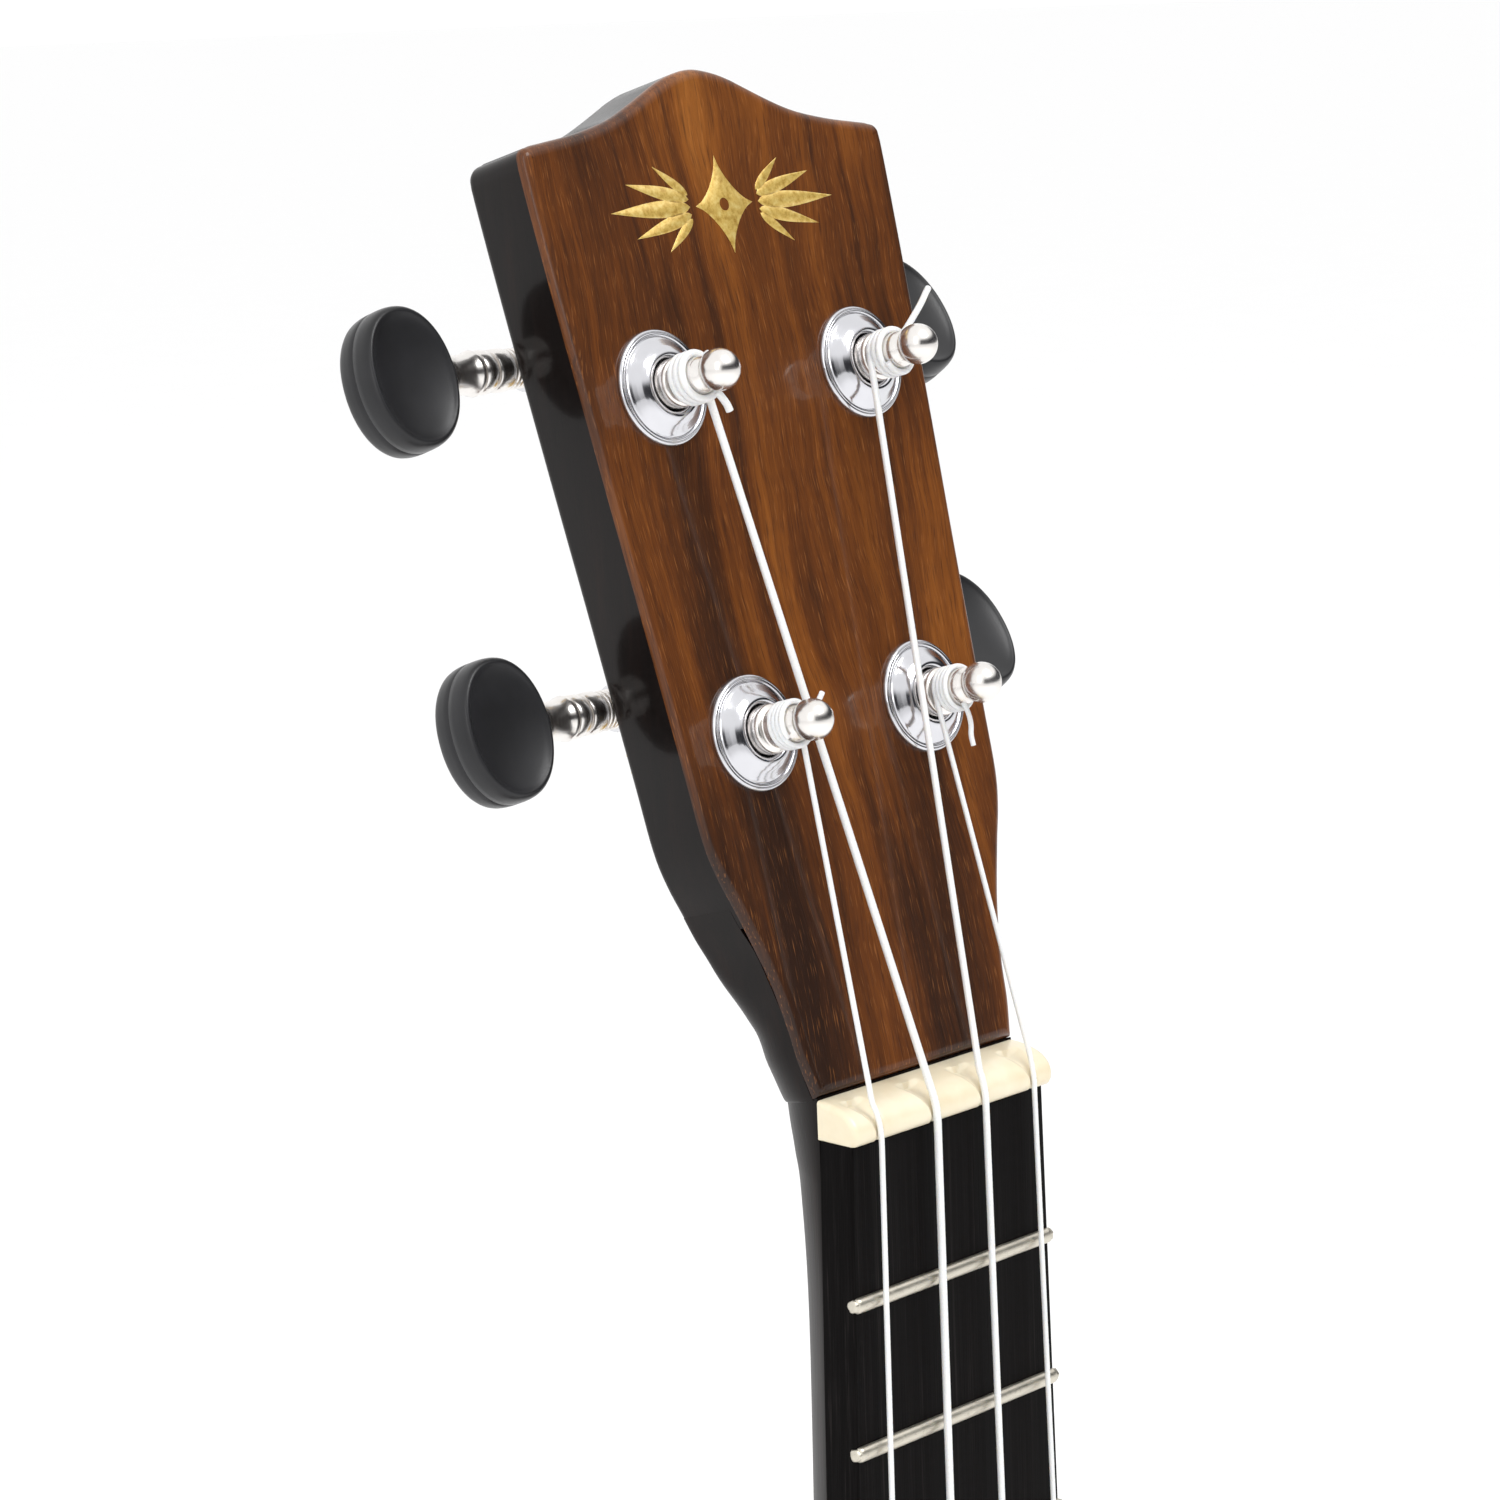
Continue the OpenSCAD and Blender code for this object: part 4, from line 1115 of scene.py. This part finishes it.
def frets_piece():
    verts, faces = [], []
    for n in range(1, 16):
        z0 = fz(n)
        L = hw(z0) - 0.05
        sec = [(0.95 * math.cos(a), 0.02 + 0.84 * math.sin(a) ** 0.8) for a in np.linspace(0, math.pi, 15)]
        xs = [(-L, 0.35), (-L + 0.06, 0.7), (-L + 0.25, 0.95), (-L + 0.6, 1.0), (0, 1.0), (L - 0.6, 1.0), (L - 0.25, 0.95), (L - 0.06, 0.7), (L, 0.35)]
        b = len(verts)
        k = len(sec)
        for x, s in xs:
            for dz, h in sec:
                verts.append(N(x, -h * s - (0.0 if s == 1 else 0.0), z0 + dz * (0.55 + 0.45 * s)))
        for i in range(len(xs) - 1):
            for j in range(k - 1):
                faces.append((b + i * k + j, b + i * k + j + 1, b + (i + 1) * k + j + 1, b + (i + 1) * k + j))
            faces.append((b + i * k + k - 1, b + i * k, b + (i + 1) * k, b + (i + 1) * k + k - 1))
        faces.append(tuple(b + j for j in range(k)))
        faces.append(tuple(b + (len(xs) - 1) * k + j for j in range(k))[::-1])
        # tang ends, filed nearly flush with the board's edges
        for sx in (-1, 1):
            b = len(verts)
            ring = [(0.62 * math.cos(a) + 0.05 * math.cos(5 * a + n), 0.1 + 0.62 * math.sin(a) + 0.05 * math.sin(4 * a + n * 2)) for a in np.linspace(0, 2 * math.pi, 17)[:-1]]
            for xo, s in ((-0.25, 1.25), (0.2, 1.3), (0.38, 1.1), (0.46, 0.6)):
                for dz, dy in ring:
                    verts.append(N(sx * (L + xo), 0.1 + (dy - 0.1) * s, z0 + dz * s))
            for i in range(3):
                for j in range(16):
                    q = (b + i * 16 + j, b + i * 16 + (j + 1) % 16, b + (i + 1) * 16 + (j + 1) % 16, b + (i + 1) * 16 + j)
                    faces.append(q)
            faces.append(tuple(b + 48 + j for j in range(16)))
            faces.append(tuple(b + j for j in range(16))[::-1])
    return mesh_obj("fret_wires", verts, faces, MAT["fret"], replaces=("frets",), slot="fret_metal", angle=50)


frets_piece()
frame["nodes"]["position_dots"].data.materials.clear()
frame["nodes"]["position_dots"].data.materials.append(MAT["pearl"])

# ------------------------------------------------------------------ body
HALF = [(0, 172.6), (12, 172.6), (23, 173.4), (40, 178.5), (54, 188.5), (62.5, 201), (65, 215), (62.8, 232), (57.5, 250), (54.5, 267), (57, 285), (66, 304),
        (77, 321), (84.2, 336), (86, 351), (82.8, 370), (74, 387), (60, 399.5), (42, 408), (21, 412), (0, 412.5)]
OUT = [tuple(p) for p in catmull(HALF + [(-x, z) for x, z in HALF[-2:0:-1]], 10, closed=True)]
HOLE = circle(0, 238, 25, 120)
BODYP = lambda x, z, h: N(x, h, -z)


def body_plate(name, h0, h1, r0, r1, mat, holes=(), **kw):
    return plate(name, OUT, rounded(h0, h1, r0, r1, 5), BODYP, mat, holes=holes, **kw)


# top: outer face at y = 5, rounded outer edge, with the sound hole
body_plate("soundboard", 5.0, 7.0, 1.0, 0.0, MAT["top"], holes=[HOLE], hole_chamfer=0.25, replaces=("top_plate",), slot="top_wood", angle=45)
body_plate("back_board", 63.0, 65.0, 0.0, 1.2, MAT["side"], replaces=("back_plate",), slot="side_wood", angle=45)


def rib_piece(side):
    n = len(OUT)
    P = np.array(OUT)
    idx = [i for i in range(n) if side * P[i][0] >= -1e-6]
    # order from neck to tail
    pts = sorted(idx, key=lambda i: (i if side > 0 else -i))
    if side < 0:
        pts = [0] + [i for i in range(n - 1, n // 2 - 1, -1)]
    else:
        pts = list(range(0, n // 2 + 1))
    outer = P[pts].astype(float)
    q = inset(OUT if area2(OUT) > 0 else OUT[::-1], 1.8)
    if area2(OUT) < 0:
        q = q[::-1]
    inner = q[pts]
    outer[0][0] = outer[-1][0] = side * 0.06
    inner = inner.copy()
    inner[0][0] = inner[-1][0] = side * 0.06
    verts, faces = [], []
    hs = [7.0, 7.05, 20, 35, 50, 62.95, 63.0]
    for (ax, az), (bx, bz) in zip(outer, inner):
        for h in hs:
            verts.append(N(ax, h, -az))
        for h in (63.0, 7.0):
            verts.append(N(bx, h, -bz))
    k = len(hs) + 2
    m = len(outer)
    for i in range(m - 1):
        for j in range(k):
            faces.append((i * k + j, i * k + (j + 1) % k, (i + 1) * k + (j + 1) % k, (i + 1) * k + j))
    faces.append(tuple(range(k)))
    faces.append(tuple((m - 1) * k + j for j in range(k))[::-1])
    nm = "rib_treble" if side > 0 else "rib_bass"
    return mesh_obj("bent_" + nm, verts, faces, MAT["rib"], replaces=(nm,), slot="side_wood", angle=40)


rib_piece(1)
rib_piece(-1)


# rosette: rings of small blocks between dark lines
def rosette_mat():
    m = NT("rosette_inlay")
    tc = m.n("ShaderNodeTexCoord")
    c = N(0, 5, -238)
    sub = m.n("ShaderNodeVectorMath", operation="SUBTRACT")
    sub.inputs[1].default_value = c
    m.link(tc.outputs["Object"], sub.inputs[0])
    sep = m.n("ShaderNodeSeparateXYZ")
    m.link(sub.outputs[0], sep.inputs[0])
    rr = m.math("SQRT", m.math("ADD", m.math("MULTIPLY", sep.outputs[0], sep.outputs[0]), m.math("MULTIPLY", sep.outputs[2], sep.outputs[2])))
    ang = m.math("ARCTAN2", sep.outputs[2], sep.outputs[0])
    blocks = m.math("FRACT", m.math("MULTIPLY", m.math("ADD", ang, 10.0), 44 / (2 * math.pi)))
    bl = m.math("GREATER_THAN", blocks, 0.5)
    inner = m.mix(bl, srgb(206, 176, 118), srgb(96, 52, 26))
    band = m.ramp(m.grey(rr, 0, 1, 0.029, 0.033), [(0.0, (0, 0, 0)), (0.14, (1, 1, 1)), (0.22, (0, 0, 0)), (0.30, (0.5, 0.5, 0.5)), (0.70, (0, 0, 0)), (0.78, (1, 1, 1)), (0.86, (0, 0, 0))], "CONSTANT")
    sepc = m.n("ShaderNodeSeparateColor")
    m.link(band, sepc.inputs[0])
    v = sepc.outputs[0]
    is_block = m.math("COMPARE", v, 0.5)
    m.t.nodes[-1].inputs[2].default_value = 0.1
    is_light = m.math("GREATER_THAN", v, 0.9)
    col = m.mix(is_light, srgb(22, 13, 9), srgb(222, 200, 150))
    col = m.mix(is_block, col, inner)
    fib = m.noise(m.scaled(m.coords(), (1.6, 1.6, 1.6)), 1.0, 4, 0.6)
    col = m.mix(m.grey(fib, 0.0, 0.35, 0.35, 0.7), col, srgb(60, 34, 18), "MULTIPLY")
    m.link(col, m.b.inputs["Base Color"])
    m.link(m.grey(fib, 0.34, 0.46), m.b.inputs["Roughness"])
    m.set(Coat_Weight=1.0, Coat_Roughness=0.12)
    m.bump(fib, 0.01 * MM, 0.5)
    return m.mat


MAT["rosette"] = rosette_mat()
plate("rosette_ring", circle(0, 238, 33, 160), [(0, 5.5), (0, 4.99), (0.02, 4.985)], BODYP, MAT["rosette"], holes=[circle(0, 238, 29, 160)],
      replaces=("rosette",), slot="rosette_inlay", angle=40)

# heel cap
cap = [(12.2 * math.cos(math.pi * i / 40), 172.55 - 13.0 * max(math.sin(math.pi * i / 40), 0) ** 0.9) for i in range(41)]
plate("heel_cap_piece", cap, rounded(62.0, 65.0, 0.0, 0.6, 4), BODYP, MAT["bridge"], replaces=("heel_cap",), slot="bridge_wood", angle=40)


# bridge and saddle
def prism_x(name, half, prof, mat, end_round=0.5, wings=None, **kw):
    """a bar along x with a closed (z below nut, y) section and softened ends"""
    prof = [np.array(p, float) for p in prof]
    c = sum(prof) / len(prof)
    xs = []
    for s in (-1, 1):
        seq = [(half, 0.94), (half - 0.06, 0.965), (half - end_round * 0.5, 0.99), (half - end_round, 1.0)]
        seq = [(s * x, k) for x, k in seq]
        xs += seq if s < 0 else seq[::-1]
    verts, faces = [], []
    k = len(prof)
    for x, sc in xs:
        for p in prof:
            q = c + (p - c) * sc
            verts.append(N(x, q[1], -q[0]))
    m = len(xs)
    for i in range(m - 1):
        for j in range(k):
            faces.append((i * k + j, i * k + (j + 1) % k, (i + 1) * k + (j + 1) % k, (i + 1) * k + j))
    faces.append(tuple(range(k)))
    faces.append(tuple((m - 1) * k + j for j in range(k))[::-1])
    return mesh_obj(name, verts, faces, mat, **kw)


b1 = prism_x("b1", 40, fillet([(353, 5), (364, 5), (364, 1.7), (362.7, 0.8), (343.3, 0.8), (342, 1.7), (342, 5), (353, 5)], 0.6, 3)[:-1], MAT["bridge"], angle=35)
b2 = prism_x("b2", 27, fillet([(344, 1.5), (350.6, 1.5), (350.6, -1.6), (349.8, -2.4), (347.8, -2.4), (347.8, 0.8), (345.2, 0.8), (345.2, -2.3), (343.6, -2.1), (342.6, -1.2), (342.6, 1.5), (344, 1.5)], 0.35, 3)[:-1], MAT["bridge"], angle=35)
b3 = prism_x("b3", 27, fillet([(356, 1.5), (363.4, 1.5), (363.4, -1.8), (362, -3), (356, -3), (354.6, -1.8), (354.6, 1.5), (356, 1.5)], 0.6, 3)[:-1], MAT["bridge"], angle=35)
br = join([b1, b2, b3], "carved_bridge")
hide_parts("bridge")
prism_x("bone_saddle", 26.4, fillet([(346.4, 0.6), (347.75, 0.6), (347.75, -4.5), (347.3, -5.15), (346.1, -5.2), (345.3, -4.6), (345.25, 0.6), (346.4, 0.6)], 0.3, 3)[:-1], MAT["bone"],
        replaces=("saddle",), slot="bone", angle=40)

# inner pieces keep their CAD shape
for n in ("neck_block", "tail_block", "top_linings", "back_linings", "top_braces", "back_braces", "bridge_plate", "neck_dowels"):
    o = frame["nodes"][n]
    o.data.materials.clear()
    o.data.materials.append(MAT["inner"])

# ------------------------------------------------------------------ light, floor
FLOOR_Z = CAD_BOX[0][2] - 0.0012
floor_me = bpy.data.meshes.new("floor")
steps = [0, 0.5, 1, 2, 4, 8, 16, 32, 64, 140]
axis = [-q for q in steps[:0:-1]] + steps
g = len(axis)
floor_me.from_pydata([(x, y, FLOOR_Z) for y in axis for x in axis], [],
                     [(j * g + i, j * g + i + 1, (j + 1) * g + i + 1, (j + 1) * g + i) for j in range(g - 1) for i in range(g - 1)])
floor = bpy.data.objects.new("floor", floor_me)
bpy.context.scene.collection.objects.link(floor)
fm = NT("floor_white")
fn = fm.noise(fm.coords(), 0.02, 3, 0.5)
fm.link(fm.mix(fm.grey(fn, 0, 1), (0.94, 0.94, 0.94), (0.955, 0.955, 0.955)), fm.b.inputs["Base Color"])
fm.set(Roughness=0.9)
fm.b.inputs["Specular IOR Level"].default_value = 0.0
floor_me.materials.append(fm.mat)
floor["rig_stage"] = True

# a white studio with one dark side, front right and low, so that gloss and chrome have something dark to mirror
world = bpy.data.worlds.new("studio")
bpy.context.scene.world = world
world.use_nodes = True
wt = world.node_tree
bg = wt.nodes["Background"]


def wn(kind, **kw):
    q = wt.nodes.new(kind)
    for k, v in kw.items():
        setattr(q, k, v)
    return q


wtc = wn("ShaderNodeTexCoord")
wsep = wn("ShaderNodeSeparateXYZ")
wt.links.new(wtc.outputs["Generated"], wsep.inputs[0])
wdot = wn("ShaderNodeVectorMath", operation="DOT_PRODUCT")
wdot.inputs[1].default_value = (0.64, -0.77, 0.0)
wt.links.new(wtc.outputs["Generated"], wdot.inputs[0])


def wrange(sock, a, b):
    q = wn("ShaderNodeMapRange", interpolation_type="SMOOTHSTEP")
    q.inputs["From Min"].default_value = a
    q.inputs["From Max"].default_value = b
    wt.links.new(sock, q.inputs["Value"])
    return q.outputs[0]


m_el = wrange(wsep.outputs[2], 0.56, 0.34)
m_az = wrange(wdot.outputs["Value"], 0.12, 0.36)
mul = wn("ShaderNodeMath", operation="MULTIPLY")
wt.links.new(m_el, mul.inputs[0])
wt.links.new(m_az, mul.inputs[1])
wmix = wn("ShaderNodeMix", data_type="RGBA")
wt.links.new(mul.outputs[0], wmix.inputs[0])
wmix.inputs[6].default_value = (1.0, 1.0, 1.0, 1)
wmix.inputs[7].default_value = (0.03, 0.03, 0.034, 1)
wt.links.new(wmix.outputs[2], bg.inputs[0])
bg.inputs[1].default_value = 1.14


def area_light(name, loc, target, size, power, col=(1, 1, 1), size_y=None):
    ld = bpy.data.lights.new(name, "AREA")
    ld.shape = "RECTANGLE"
    ld.size = size
    ld.size_y = size_y or size
    ld.energy = power
    ld.color = col
    o = bpy.data.objects.new(name, ld)
    bpy.context.scene.collection.objects.link(o)
    d = Vector(target) - Vector(loc)
    o.rotation_euler = d.to_track_quat("-Z", "Y").to_euler()
    o.location = loc
    return o


area_light("key", (0.25, -1.25, 1.75), (0, 0, -0.02), 1.0, 22)
area_light("strip", (-1.5, -0.9, 0.9), (0, 0, -0.05), 0.5, 4, size_y=1.2)

new_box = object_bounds()


def plain(b):
    if isinstance(b, dict):
        return {k: plain(v) for k, v in b.items()}
    try:
        return [plain(x) for x in b]
    except TypeError:
        return float(b)


{"cad": plain(CAD_BOX), "visual": plain(new_box)}
